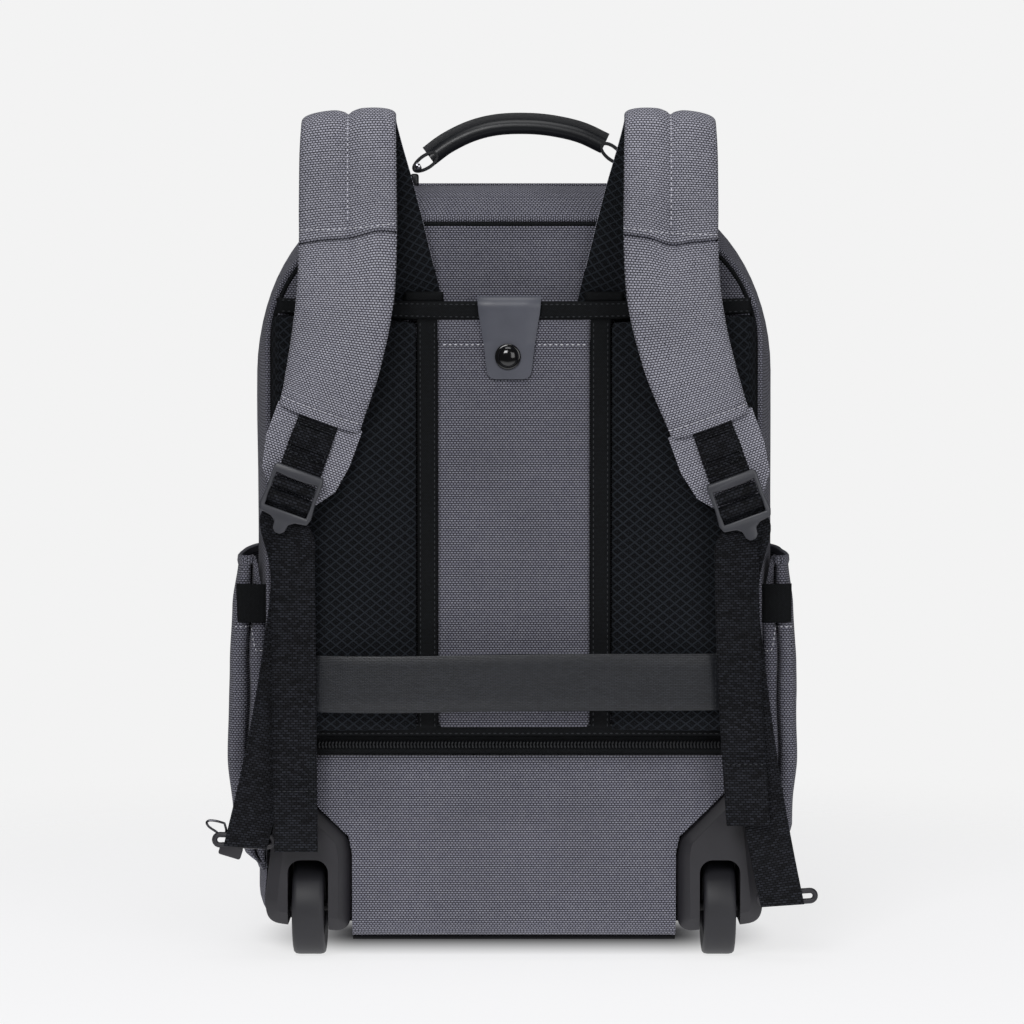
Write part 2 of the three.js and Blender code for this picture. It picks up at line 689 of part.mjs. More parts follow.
// The places of one shoulder strap, worked out from its lie
function strapPlaces(lie) {
  const top = BODY_TOP + STRAP_ABOVE;
  const base = OVERLAY_TOP - STRAP_TUCK;
  return STRAP_ROWS.map(({ run, way, lean, out, turn, wide, thick }) => {
    const rising = run === "rise";
    const across = THREE.MathUtils.lerp(rising ? lie.base : lie.top, rising ? lie.top : lie.hem, lean);
    return {
      x: lie.side * across,
      y: -STRAP_SEAT - out * STRAP_STAND,
      z: rising ? THREE.MathUtils.lerp(base, top, way) : top - way * lie.drop,
      turn: -lie.side * turn * STRAP_TURN,
      half: (wide * STRAP_WIDE) / 2,
      thick: thick * STRAP_THICK,
    };
  });
}

// A ladder lock seen from the front: two slots between three bars, and a lip with a blunt tip
function buckleShape() {
  const half = BUCKLE_WIDE / 2;
  const shape = new THREE.Shape();
  shape.moveTo(-half + 2, 0);
  shape.lineTo(half - 2, 0);
  shape.lineTo(half, -3);
  shape.lineTo(half - 0.8, -BUCKLE_LONG * 0.6);
  shape.lineTo(half, -BUCKLE_LONG * 0.85);
  shape.lineTo(half - 3, -BUCKLE_LONG);
  shape.lineTo(3, -BUCKLE_LONG - BUCKLE_TIP);
  shape.lineTo(-3, -BUCKLE_LONG - BUCKLE_TIP);
  shape.lineTo(-half + 3, -BUCKLE_LONG);
  shape.lineTo(-half, -BUCKLE_LONG * 0.85);
  shape.lineTo(-half + 0.8, -BUCKLE_LONG * 0.6);
  shape.lineTo(-half, -3);
  const reach = WEBBING / 2 + 2 * GAP;
  for (const high of [-1.6 * BAR, -1.6 * BAR - SLOT - BAR]) {
    const slot = new THREE.Path();
    slot.moveTo(-reach, high);
    slot.lineTo(-reach, high - SLOT);
    slot.lineTo(reach, high - SLOT);
    slot.lineTo(reach, high);
    shape.holes.push(slot);
  }
  return shape;
}

function patchShape() {
  const half = PATCH_WIDE / 2;
  return new THREE.Shape(
    [[-half, -3 * GAP], [half, -3 * GAP], [half, -0.45 * PATCH_LENGTH], [0.86 * half, -0.8 * PATCH_LENGTH],
      [0.6 * half, -PATCH_LENGTH], [-0.6 * half, -PATCH_LENGTH], [-0.86 * half, -0.8 * PATCH_LENGTH],
      [-half, -0.45 * PATCH_LENGTH]].map(([x, z]) => new THREE.Vector2(x, z)),
  );
}

// A shoulder strap with what is sewn to its hem, its buckle, and its webbing with the hook
function addShoulderStrap(name, lie) {
  const places = strapPlaces(lie);
  add(`shoulder_strap_${name}`, sweep(places, STRAP_SECTION, 32), "cloth");

  const hem = places[places.length - 1];
  const end = new THREE.Group();
  end.position.set(hem.x, hem.y, hem.z);
  end.rotation.y = THREE.MathUtils.degToRad(hem.turn);
  part.add(end);
  add(`strap_patch_${name}`, slab(patchShape(), GAP, GAP + PATCH_THICK), "webbing", end);
  const stubHalf = WEBBING / 2;
  const stub = box([-stubHalf, -WEBBING_THICK, -STUB_LENGTH], [stubHalf, 0, -3 * GAP]);
  add(`strap_stub_${name}`, stub, "webbing", end);
  const buckleBack = -2 * WEBBING_THICK - 3 * GAP;
  const buckleFront = buckleBack - BUCKLE_THICK;
  const buckle = slab(buckleShape(), buckleFront, buckleBack, 0.6).translate(0, 0, -BUCKLE_FROM_HEM);
  add(`buckle_${name}`, outward(buckle), "plastic", end);

  const turn = hem.turn;
  const tilt = THREE.MathUtils.degToRad(turn);
  const onBuckle = (y, down) => ({
    x: hem.x - down * Math.sin(tilt),
    y: hem.y + y,
    z: hem.z - down * Math.cos(tilt),
    turn,
  });
  const barTop = BUCKLE_FROM_HEM + 1.6 * BAR + SLOT;
  const under = -WEBBING_THICK / 2;
  const tailUnder = buckleBack + GAP + WEBBING_THICK / 2;
  const over = buckleFront - GAP - WEBBING_THICK / 2;
  const lowerEnd = { x: lie.side * lie.lowerEnd, z: hem.z - lie.lowerDrop };
  const tailEnd = { x: lie.side * lie.tailEnd, z: hem.z - lie.tailDrop };
  const hang = (from, to, share, y, swing) => ({
    x: THREE.MathUtils.lerp(from.x, to.x, share ** 1.6),
    z: THREE.MathUtils.lerp(from.z, to.z, share),
    y,
    turn: -lie.side * swing,
  });
  const tailFrom = { x: lie.side * lie.tail, z: hem.z - 2.2 * BUCKLE_LONG - 12 };
  const rows = [
    hang(tailFrom, lowerEnd, 1, hem.y + 15, 4),
    hang(tailFrom, lowerEnd, 0.88, hem.y + 14, 12),
    hang(tailFrom, lowerEnd, 0.65, hem.y + 11, 9),
    hang(tailFrom, lowerEnd, 0.35, hem.y + 6, 4),
    hang(tailFrom, lowerEnd, 0.1, hem.y + 1.5, 4),
    onBuckle(under, barTop + BUCKLE_LONG * 0.55),
    onBuckle(under, barTop + 4),
    onBuckle(under - 0.4, barTop - 0.2),
    onBuckle(under - 2, barTop - 1.7),
    onBuckle(over + 2.2, barTop - 1.9),
    onBuckle(over + 0.1, barTop - 0.4),
    onBuckle(over, barTop + BAR / 2),
    onBuckle(over + 0.1, barTop + BAR + 0.6),
    onBuckle(over + 2, barTop + BAR + 2.4),
    onBuckle(tailUnder - 1.8, barTop + BAR + SLOT / 2 + 0.6),
    onBuckle(tailUnder - 0.1, barTop + BAR + SLOT - 0.7),
    onBuckle(tailUnder, barTop + BAR + SLOT + 3),
    onBuckle(tailUnder, barTop + BUCKLE_LONG * 0.75),
    hang(tailFrom, tailEnd, 0.12, hem.y - 2.6, 0),
    hang(tailFrom, tailEnd, 0.45, hem.y + 2, 0),
    hang(tailFrom, tailEnd, 0.75, hem.y + 6, 0),
    hang(tailFrom, tailEnd, 1, hem.y + 9, 0),
  ].map((row) => ({ half: WEBBING / 2, thick: WEBBING_THICK, ...row }));
  add(`webbing_${name}`, sweep(rows, FLAT_SECTION, 56), "webbing");
  add(`hook_${name}`, hook(lie, lowerEnd, hem.y + 15), "steel");
}

// The small clip behind the lower end of the webbing: a body with a bent wire eye at its outer side
function hook(lie, end, y) {
  const seat = y + WEBBING_THICK / 2 + GAP;
  const deep = 4;
  const body = box([-HOOK_BODY / 2, seat, -3], [HOOK_BODY / 2, seat + deep, 8]);
  const eye = new THREE.Shape();
  eye.moveTo(HOOK_BODY / 2 - 2, 3);
  eye.lineTo(HOOK_BODY / 2 + HOOK_REACH - 4, 9);
  eye.lineTo(HOOK_BODY / 2 + HOOK_REACH, 13);
  eye.lineTo(HOOK_BODY / 2 + HOOK_REACH - 2, 16);
  eye.lineTo(HOOK_BODY / 2 - 4, 17);
  eye.lineTo(HOOK_BODY / 2 - 7, 6);
  const hole = new THREE.Path();
  hole.moveTo(HOOK_BODY / 2 - 2, 3 + 2.6 * HOOK_WIRE);
  hole.lineTo(HOOK_BODY / 2 - 3, 17 - 2 * HOOK_WIRE);
  hole.lineTo(HOOK_BODY / 2 + HOOK_REACH - 3, 16 - 2 * HOOK_WIRE);
  hole.lineTo(HOOK_BODY / 2 + HOOK_REACH - 3, 13 - HOOK_WIRE);
  eye.holes.push(hole);
  const wire = slab(eye, seat + deep / 2 - HOOK_WIRE, seat + deep / 2 + HOOK_WIRE);
  const made = join(body, wire);
  if (lie.side < 0) made.scale(-1, 1, 1);
  return outward(made.translate(lie.side * (HOOK_TIP - HOOK_REACH - HOOK_BODY / 2), 0, end.z));
}

function addHandle() {
  const low = BODY_TOP + HANDLE_CLEAR;
  const rows = HANDLE_ROWS.map(({ across, rise }) => ({
    x: across * HANDLE_HALF,
    z: low + rise * HANDLE_RISE - HANDLE_TUBE / 2,
  }));
  const curve = new THREE.CatmullRomCurve3(rows.map(({ x, z }) => new THREE.Vector3(x, HANDLE_Y, z)));
  const rings = Array.from({ length: 17 }, (_, i) => {
    const way = curve.getTangent(i / 16);
    const up = new THREE.Vector3(-way.z, 0, way.x);
    return HANDLE_SECTION.map(({ across, rise }) =>
      curve
        .getPoint(i / 16)
        .addScaledVector(up, (Math.min(rise, 1) - 0.5) * HANDLE_TUBE + (rise > 1 ? HANDLE_RIDGE : 0))
        .add(new THREE.Vector3(0, (across * HANDLE_TUBE) / 2, 0)),
    );
  });
  add("grab_handle", loft(rings), "leather");
  for (const [name, side, end] of [["left", -1, rows[0]], ["right", 1, rows[rows.length - 1]]]) {
    const inner = end.x + side * HANDLE_TUBE * 0.32;
    const outer = inner + side * LOOP_WIDE;
    const pin = { x: (inner + outer) / 2, z: end.z - 2 };
    const shape = new THREE.Shape(
      [[inner, end.z + 3], [inner, end.z - 6], [pin.x - side * 2, BODY_TOP + GAP], [outer, BODY_TOP + GAP],
        [outer, end.z], [pin.x + side * 2, end.z + 4]].map(([x, z]) => new THREE.Vector2(x, z)),
    );
    const bore = Array.from({ length: 8 }, (_, i) => {
      const turn = (i / 8) * 2 * Math.PI;
      const radius = PIN + 2 * GAP;
      return new THREE.Vector2(pin.x + radius * Math.cos(turn), pin.z + radius * Math.sin(turn));
    });
    shape.holes.push(new THREE.Path(bore));
    const loop = slab(shape, HANDLE_Y - LOOP_DEEP / 2, HANDLE_Y + LOOP_DEEP / 2);
    add(`handle_loop_${name}`, outward(loop), "leather");
    const rod = new THREE.CylinderGeometry(PIN, PIN, PIN_LENGTH, 8);
    add(`handle_pin_${name}`, outward(rod.translate(pin.x, HANDLE_Y, 0)), "steel").position.z = pin.z;
  }
}

// The room a wheel turns in, open at the back of the bag and below
function wheelWell() {
  const half = WHEEL_WIDE / 2 + WHEEL_CLEAR;
  const radius = WHEEL / 2 + WHEEL_CLEAR;
  const [low, high] = [WHEEL_ACROSS - half, WHEEL_ACROSS + half];
  const drum = new THREE.CylinderGeometry(radius, radius, 2 * half, 28).rotateZ(Math.PI / 2);
  drum.translate(WHEEL_ACROSS, WHEEL_Y, WHEEL / 2);
  const below = box([low, WHEEL_Y - radius, -20], [high, WHEEL_Y + radius, WHEEL / 2]);
  const mouth = new THREE.Shape();
  const crown = WHEEL / 2 + radius;
  mouth.moveTo(low, -20);
  mouth.lineTo(high, -20);
  mouth.lineTo(high, crown - 9);
  mouth.quadraticCurveTo(high, crown, high - 9, crown);
  mouth.lineTo(low + 9, crown);
  mouth.quadraticCurveTo(low, crown, low, crown - 9);
  return join(drum, below, slab(mouth, -HOUSING_PROUD - 20, WHEEL_Y));
}

function ringLathe(profile, inner, outer, width) {
  const points = profile.map(
    ([r, w]) => new THREE.Vector2(THREE.MathUtils.lerp(inner, outer, r), (w * width) / 2),
  );
  return outward(new THREE.LatheGeometry([...points, points[0]], 28).rotateZ(Math.PI / 2));
}

function addWheels() {
  const well = wheelWell();
  const block = slab(housingShape(), -HOUSING_PROUD, HOUSING_BACK, HOUSING_BEVEL);
  const pinLength = WHEEL_WIDE + 2 * WHEEL_CLEAR + 4;
  const axle = new THREE.CylinderGeometry(AXLE / 2, AXLE / 2, pinLength, 12).rotateZ(Math.PI / 2);
  axle.translate(WHEEL_ACROSS, WHEEL_Y, WHEEL / 2);
  const housing = join(cut(block, well), axle);
  const tyre = ringLathe(
    [[0, -0.85], [0.75, -1], [1, -0.72], [1, 0.72], [0.75, 1], [0, 0.85]],
    HUB / 2 + GAP, WHEEL / 2, WHEEL_WIDE,
  );
  const hub = ringLathe(
    [[0, -1], [0.35, -1], [0.5, -0.6], [0.8, -0.6], [1, -1],
      [1, 1], [0.8, 0.6], [0.5, 0.6], [0.35, 1], [0, 1]],
    AXLE / 2 + GAP, HUB / 2, HUB_WIDE,
  );
  for (const [name, side] of [["left", -1], ["right", 1]]) {
    const mirrored = outward(housing.clone().scale(side, 1, 1));
    add(`wheel_housing_${name}`, mirrored, "plastic");
    const wheel = new THREE.Group();
    wheel.position.set(side * WHEEL_ACROSS, WHEEL_Y, WHEEL / 2);
    part.add(wheel);
    add(`wheel_tyre_${name}`, tyre, "rubber", wheel);
    add(`wheel_hub_${name}`, hub, "plastic", wheel);
    const foot = new THREE.CylinderGeometry(FOOT_WIDE / 2, FOOT_WIDE / 2 - 2, GROUND - GAP, 12);
    foot.rotateX(Math.PI / 2).translate(side * FOOT_ACROSS, FOOT_Y, (GROUND - GAP) / 2);
    add(`foot_${name}`, outward(foot), "plastic");
  }
}

// A point on a side pocket's outer face, as shares along its depth and up its height
function pocketPoint(along, up, out, inset = 0) {
  const y = THREE.MathUtils.lerp(POCKET_FROM + inset, POCKET_FROM + POCKET_DEEP - inset, along);
  const base = sectionAt(alongAt(y)).half + 2 * GAP;
  const z = THREE.MathUtils.lerp(POCKET_FOOT + inset, POCKET_MOUTH, up);
  return new THREE.Vector3(base + Math.max(0, out * POCKET_OUT - inset), y, z);
}

function addPockets() {
  const column = (along, out, inset) =>
    POCKET_UP.map((row) => pocketPoint(along, row.up, row.out * out, inset));
  const pocket = loft(
    POCKET_ALONG.map(({ along, out }) => [
      ...column(along, out, 0),
      ...column(along, out, POCKET_WALL).reverse(),
    ]),
  );
  const top = POCKET_MOUTH - ELASTIC_BELOW;
  const low = top - ELASTIC_HIGH;
  const proud = new THREE.Vector3(0.4, -0.92, 0);
  const corners = [[low, 0], [top, 0], [top, ELASTIC_THICK], [low, ELASTIC_THICK]];
  const band = loft(
    [0, 0.03, 0.06, 0.14].map((along) =>
      corners.map(([z, lift]) => {
        const up = (z - POCKET_FOOT) / (POCKET_MOUTH - POCKET_FOOT);
        const out = between(POCKET_UP, up, "up", "out") * between(POCKET_ALONG, along, "along", "out");
        return pocketPoint(along, up, out).addScaledVector(proud, lift + 2 * GAP);
      }),
    ),
  );
  for (const [name, side] of [["left", -1], ["right", 1]]) {
    add(`side_pocket_${name}`, outward(pocket.clone().scale(side, 1, 1)), "cloth");
    add(`elastic_${name}`, outward(band.clone().scale(side, 1, 1)), "webbing");
  }
}

addBody();
addZipFlap();
addOverlay();
addLowerBack();
addLuggageStrap();
addLeatherTab();
addShoulderStrap("left", STRAP_LIES.left);
addShoulderStrap("right", STRAP_LIES.right);
addHandle();
addWheels();
addPockets();

// The origin is under the middle of the whole bag
const reach = new THREE.Box3().setFromObject(part);
part.position.set(-(reach.min.x + reach.max.x) / 2, -(reach.min.y + reach.max.y) / 2, -reach.min.z);
export default part;
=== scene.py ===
# %% [markdown]
# # A soft backpack on two wheels
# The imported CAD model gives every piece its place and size. This script dresses it: woven cloth that
# bulges between its seams, padded straps, webbing through ladder locks, moulded corners and wheels.
# Lengths below are in millimetres, measured from the outer face of the back panel, and one function
# turns them to metres in the frame of the model.

import json
import math

import bmesh
import bpy
import numpy as np
from mathutils import Matrix, Vector, noise

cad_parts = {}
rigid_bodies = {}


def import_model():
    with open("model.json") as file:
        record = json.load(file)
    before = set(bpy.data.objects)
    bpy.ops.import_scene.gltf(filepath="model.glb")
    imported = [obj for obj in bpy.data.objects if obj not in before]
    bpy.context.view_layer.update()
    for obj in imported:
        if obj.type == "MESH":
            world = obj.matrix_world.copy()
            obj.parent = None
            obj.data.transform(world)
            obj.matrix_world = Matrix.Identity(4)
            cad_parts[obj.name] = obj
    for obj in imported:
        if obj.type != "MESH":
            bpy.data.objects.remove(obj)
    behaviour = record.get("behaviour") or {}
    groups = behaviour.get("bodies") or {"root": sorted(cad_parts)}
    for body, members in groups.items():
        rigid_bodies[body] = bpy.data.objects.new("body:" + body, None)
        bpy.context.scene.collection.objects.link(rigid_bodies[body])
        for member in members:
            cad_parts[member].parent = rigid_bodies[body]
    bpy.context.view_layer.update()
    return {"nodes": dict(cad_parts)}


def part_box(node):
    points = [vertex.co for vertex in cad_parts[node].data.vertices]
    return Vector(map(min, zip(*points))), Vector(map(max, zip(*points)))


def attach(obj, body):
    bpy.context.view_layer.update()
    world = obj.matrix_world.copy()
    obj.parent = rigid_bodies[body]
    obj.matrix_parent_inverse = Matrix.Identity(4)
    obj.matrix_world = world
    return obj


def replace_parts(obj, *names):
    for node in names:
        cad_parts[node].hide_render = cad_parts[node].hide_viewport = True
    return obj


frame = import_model()
scene = bpy.context.scene
MM = 0.001
BACK_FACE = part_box("back_wall")[0].y
SIDES = {"left": -1, "right": 1}
BODY_DEPTH = 190


def spot(x, deep, z):
    """A place across, behind the back panel's face and above the floor, in millimetres."""
    return Vector((x * MM, BACK_FACE + deep * MM, z * MM))


print("nodes in the frame:", len(frame["nodes"]))

# %% [markdown]
# The photograph looks straight at the wearer's side from a little above the middle of the bag. A long
# lens from two metres away keeps the sides parallel. The picture is 1024 pixels wide, and one pixel is
# 0.614 mm at the back panel, so the lens follows from the sensor's width and the distance.

# %% Camera
PIXEL = 0.614
PICTURE = 1024
DISTANCE = 2100
RISE = 3.0
AIM = spot(-1.2, 0, 277)

camera_data = bpy.data.cameras.new("camera")
camera_data.lens = camera_data.sensor_width * DISTANCE / (PIXEL * PICTURE)
camera_data.clip_end = 50
camera = bpy.data.objects.new("camera", camera_data)
scene.collection.objects.link(camera)
lift = math.radians(RISE)
camera.location = AIM + Vector((0, -math.cos(lift), math.sin(lift))) * DISTANCE * MM
camera.rotation_euler = (AIM - camera.location).to_track_quat("-Z", "Y").to_euler()
scene.camera = camera
print("lens", round(camera_data.lens, 1), "mm")

# %% [markdown]
# The studio is one pale tone all round. A large lamp from the upper left shows the weave, a weaker one
# from the right fills, one above draws the top edges, and the world adds a little from everywhere. The
# floor only has to catch a soft shadow, so most of its tone is its own light, and that glow fades under
# the bag as a painted shadow.

# %% Light, floor and backdrop
PALE = "#f3f3f3"
WORLD_LIGHT = 0.085
FLOOR_GLOW = 0.825


def linear(code, alpha=1.0):
    """An sRGB hex colour as linear values."""
    values = [int(code[i : i + 2], 16) / 255 for i in (1, 3, 5)]
    return [c / 12.92 if c <= 0.04045 else ((c + 0.055) / 1.055) ** 2.4 for c in values] + [alpha]


def node(tree, kind, settings=None, **links):
    """Adds a node with its settings. A link is a socket or a value; an input n is written in_n."""
    made = tree.nodes.new(kind)
    for name, value in (settings or {}).items():
        setattr(made, name, value)
    for name, value in links.items():
        socket = made.inputs[int(name[3:]) if name.startswith("in_") else name.replace("_", " ")]
        if isinstance(value, bpy.types.NodeSocket):
            tree.links.new(value, socket)
        else:
            socket.default_value = value
    return made


def lamp(name, place, size, power, aim=AIM):
    """A soft square lamp that faces the bag."""
    data = bpy.data.lights.new(name, "AREA")
    data.size = size
    data.energy = power
    made = bpy.data.objects.new(name, data)
    made.location = place
    made.rotation_euler = (Vector(aim) - Vector(place)).to_track_quat("-Z", "Y").to_euler()
    scene.collection.objects.link(made)


world = bpy.data.worlds.new("studio")
world.use_nodes = True
scene.world = world
sky = world.node_tree
seen = node(sky, "ShaderNodeLightPath")
strength = node(sky, "ShaderNodeMapRange", Value=seen.outputs["Is Camera Ray"], To_Min=WORLD_LIGHT, To_Max=1.0)
sky.nodes["Background"].inputs["Color"].default_value = linear(PALE)
sky.links.new(strength.outputs[0], sky.nodes["Background"].inputs["Strength"])
scene.view_settings.view_transform = "Standard"
lamp("key", (-0.6, -2.3, 1.7), 1.0, 28)
lamp("fill", (1.3, -2.1, 0.8), 1.4, 12)
lamp("top", (0.0, -0.3, 2.3), 1.2, 11)

paper = bpy.data.materials.new("white_paper_sweep")
paper.use_nodes = True
shades = paper.node_tree
shades.nodes.clear()
place = node(shades, "ShaderNodeTexCoord")
from_middle = node(shades, "ShaderNodeVectorMath", {"operation": "SUBTRACT"}, in_0=place.outputs["Object"],
                   in_1=spot(0, BODY_DEPTH / 2, 0))
beside = node(shades, "ShaderNodeVectorMath", {"operation": "ABSOLUTE"}, in_0=from_middle.outputs[0])
beyond = node(shades, "ShaderNodeVectorMath", {"operation": "SUBTRACT"}, in_0=beside.outputs[0],
              in_1=(0.095, 0.008, 0))
outside = node(shades, "ShaderNodeVectorMath", {"operation": "MAXIMUM"}, in_0=beyond.outputs[0],
               in_1=(0, 0, 0))
from_bag = node(shades, "ShaderNodeVectorMath", {"operation": "LENGTH"}, in_0=outside.outputs[0])
# Painted shadow: the floor's own glow is nought over the bag's footprint and rises to full 78 mm beyond it
glow_with_painted_shadow = node(shades, "ShaderNodeMapRange", {"interpolation_type": "SMOOTHSTEP"},
                  Value=from_bag.outputs["Value"], From_Min=0.0, From_Max=0.078, To_Min=0.0, To_Max=FLOOR_GLOW)
glow = node(shades, "ShaderNodeEmission", Color=linear(PALE), Strength=glow_with_painted_shadow.outputs[0])
matt = node(shades, "ShaderNodeBsdfDiffuse", Color=linear("#9c9ca0"))
both = node(shades, "ShaderNodeAddShader", in_0=glow.outputs[0], in_1=matt.outputs[0])
clear = node(shades, "ShaderNodeBsdfTransparent")
reach = node(shades, "ShaderNodeVectorMath", {"operation": "LENGTH"}, in_0=place.outputs["Object"])
fade = node(
    shades, "ShaderNodeMapRange", {"interpolation_type": "SMOOTHSTEP"}, Value=reach.outputs["Value"],
    From_Min=0.35, From_Max=0.9,
)
blend = node(
    shades, "ShaderNodeMixShader", Fac=fade.outputs[0], in_1=both.outputs[0], in_2=clear.outputs[0]
)
node(shades, "ShaderNodeOutputMaterial", Surface=blend.outputs[0])

floor_mesh = bpy.data.meshes.new("floor")
shape = bmesh.new()
bmesh.ops.create_circle(shape, cap_ends=True, segments=64, radius=1.0)
shape.to_mesh(floor_mesh)
shape.free()
floor_mesh.materials.append(paper)
floor = bpy.data.objects.new("floor", floor_mesh)
scene.collection.objects.link(floor)

# %% [markdown]
# ## Finishes
# Cloth patterns follow a UV map in millimetres named "cloth", so a thread keeps its real width on every
# piece. The grey cloth is a coarse polyester in a plain weave: each light dash is a thread that comes up
# between two dark gaps, 2 mm apart, with every other row shifted by half.

# %% Woven cloths
THREAD_STEP = 2.0
THREAD_ROW = 1.4
CENTIMETRE = 0.1


def surface(name, roughness, **values):
    """A material with its shader, ready for more nodes."""
    made = bpy.data.materials.new(name)
    made.use_nodes = True
    shader = made.node_tree.nodes["Principled BSDF"]
    shader.inputs["Roughness"].default_value = roughness
    for socket, value in values.items():
        shader.inputs[socket.replace("_", " ")].default_value = value
    return made, made.node_tree, shader


def raised(tree, shader, height, distance, strength=1.0):
    """Relief of some millimetres from a height of 0 to 1."""
    bump = node(tree, "ShaderNodeBump", Height=height, Distance=distance * MM, Strength=strength)
    tree.links.new(bump.outputs[0], shader.inputs["Normal"])


def patchy(tree, colour, amount, size):
    """The colour with soft lighter and darker places, as on dyed and handled cloth."""
    where = node(tree, "ShaderNodeTexCoord")
    cloud = node(
        tree, "ShaderNodeTexNoise", Vector=where.outputs["Object"], Scale=1 / (size * MM), Detail=3.0
    )
    tone = node(tree, "ShaderNodeMapRange", Value=cloud.outputs[0], From_Min=0.3, From_Max=0.7,
                To_Min=1 - amount, To_Max=1 + amount)
    return node(
        tree, "ShaderNodeVectorMath", {"operation": "SCALE"}, in_0=colour, Scale=tone.outputs[0]
    ).outputs[0]


def plain_weave(name, light, second, dark, step=THREAD_STEP, row=THREAD_ROW, gap=0.5, relief=0.25,
                turned=False, roughness=0.82, sheen=0.0, gloss=0.2):
    """A plain weave: raised dashes of thread in shifted rows over dark gaps."""
    made, tree, shader = surface(name, roughness, Sheen_Weight=sheen, Sheen_Roughness=0.4,
                                 Specular_IOR_Level=gloss)
    where = node(tree, "ShaderNodeUVMap", {"uv_map": "cloth"})
    turn = node(tree, "ShaderNodeMapping", Vector=where.outputs[0],
                Rotation=(0, 0, math.pi / 2 if turned else 0), Scale=(CENTIMETRE,) * 3)
    weave = node(
        tree, "ShaderNodeTexBrick", {"offset": 0.5}, Vector=turn.outputs[0], Color1=linear(light),
        Color2=linear(second), Mortar=linear(dark), Scale=1.0, Mortar_Size=gap * CENTIMETRE,
        Mortar_Smooth=1.0, Bias=0.0, Brick_Width=step * CENTIMETRE, Row_Height=row * CENTIMETRE,
    )
    tree.links.new(patchy(tree, weave.outputs["Color"], 0.07, 45), shader.inputs["Base Color"])
    up = node(tree, "ShaderNodeMath", {"operation": "SUBTRACT"}, in_0=1.0, in_1=weave.outputs["Fac"])
    raised(tree, shader, up.outputs[0], relief)
    return made


# Polyester: the straps' cloth is the body's weave painted lighter, as painted light where the straps face the
# lamps
body_cloth = plain_weave("grey_basket_weave_polyester", "#9494a1", "#898998", "#0b0b0f", sheen=0.1)
strap_cloth_painted_lighter = plain_weave("grey_strap_polyester_painted_lighter", "#c6c6d4", "#b6b6c5", "#101015", sheen=0.1)
# Ribbed tape: fine, dull and nearly black
grosgrain = plain_weave("black_grosgrain_tape", "#181b1f", "#111316", "#050607", 1.3, 0.8, 0.3, 0.1)
# Nylon webbing: rows of dashes across its width, with a dull gloss
webbing = plain_weave("black_nylon_webbing", "#2d2f36", "#121317", "#020203", 3.0, 1.5, 0.5, 0.3,
                      roughness=0.55, gloss=0.12)
# Seat-belt webbing: finer and smoother, so it catches broad satin lights
satin = plain_weave("satin_seat_belt_webbing", "#303238", "#26282d", "#0d0e10", 3.0, 1.0, 0.25, 0.1,
                    turned=True, roughness=0.36, gloss=0.4)
print("woven cloths:", [m.name for m in (body_cloth, strap_cloth_painted_lighter, grosgrain, webbing, satin)])

# %% [markdown]
# The black pads are spacer mesh: a knit with raised threads that cross in diamonds 7 mm wide and 5.7 mm
# high, over a field of fine dashes. Two slanted families of lines make the diamonds: each is a
# coordinate folded back and forth, which is nought along its lines.

# %% Spacer mesh
DIAMOND_WIDE = 7.0
DIAMOND_HIGH = 5.7


def spacer_mesh():
    made, tree, shader = surface("black_spacer_mesh", 0.85, Specular_IOR_Level=0.15)
    where = node(tree, "ShaderNodeUVMap", {"uv_map": "cloth"})
    axes = node(tree, "ShaderNodeSeparateXYZ", Vector=where.outputs[0])
    x = node(tree, "ShaderNodeMath", {"operation": "DIVIDE"}, in_0=axes.outputs[0], in_1=DIAMOND_WIDE)
    z = node(tree, "ShaderNodeMath", {"operation": "DIVIDE"}, in_0=axes.outputs[1], in_1=DIAMOND_HIGH)
    folds = []
    for way in ("ADD", "SUBTRACT"):
        slant = node(tree, "ShaderNodeMath", {"operation": way}, in_0=x.outputs[0], in_1=z.outputs[0])
        folds.append(node(tree, "ShaderNodeMath", {"operation": "PINGPONG"}, in_0=slant.outputs[0],
                          in_1=0.5).outputs[0])
    near = node(tree, "ShaderNodeMath", {"operation": "MINIMUM"}, in_0=folds[0], in_1=folds[1])
    ridge = node(tree, "ShaderNodeMapRange", {"interpolation_type": "SMOOTHSTEP"},
                 Value=near.outputs[0], From_Min=0.05, From_Max=0.17, To_Min=1.0, To_Max=0.0)
    small = node(tree, "ShaderNodeMapping", Vector=where.outputs[0], Scale=(CENTIMETRE,) * 3,
                 Rotation=(0, 0, math.radians(38)))
    dashes = node(
        tree, "ShaderNodeTexBrick", {"offset": 0.5}, Vector=small.outputs[0], Scale=1.0,
        Color1=linear("#1c1f25"), Color2=linear("#101216"), Mortar=linear("#020203"),
        Mortar_Size=0.025, Mortar_Smooth=0.5, Brick_Width=0.17, Row_Height=0.12,
    )
    tint = node(tree, "ShaderNodeMix", {"data_type": "RGBA"}, Factor=ridge.outputs[0],
                in_6=dashes.outputs["Color"], in_7=linear("#262a30"))
    tree.links.new(tint.outputs[2], shader.inputs["Base Color"])
    raised(tree, shader, ridge.outputs[0], 0.6)
    return made


mesh_cloth = spacer_mesh()
print("knit:", mesh_cloth.name)

# %% [markdown]
# The hard and smooth finishes are leather, moulded nylon and ABS, the soft tyre, plated wire and a
# lacquered snap. Grain is small noise in Object coordinates, sized in millimetres.

# %% Leather, mouldings and metal


def grained(name, colour, roughness, grain, relief, tint=0.08, **values):
    """An even colour with fine grain of a size in millimetres and a relief in millimetres."""
    made, tree, shader = surface(name, roughness, **values)
    where = node(tree, "ShaderNodeTexCoord")
    speck = node(tree, "ShaderNodeTexNoise", Vector=where.outputs["Object"], Scale=1 / (grain * MM),
                 Detail=4.0, Roughness=0.6)
    base = node(tree, "ShaderNodeRGB")
    base.outputs[0].default_value = linear(colour)
    tree.links.new(patchy(tree, base.outputs[0], tint, 18), shader.inputs["Base Color"])
    raised(tree, shader, speck.outputs[0], relief)
    return made


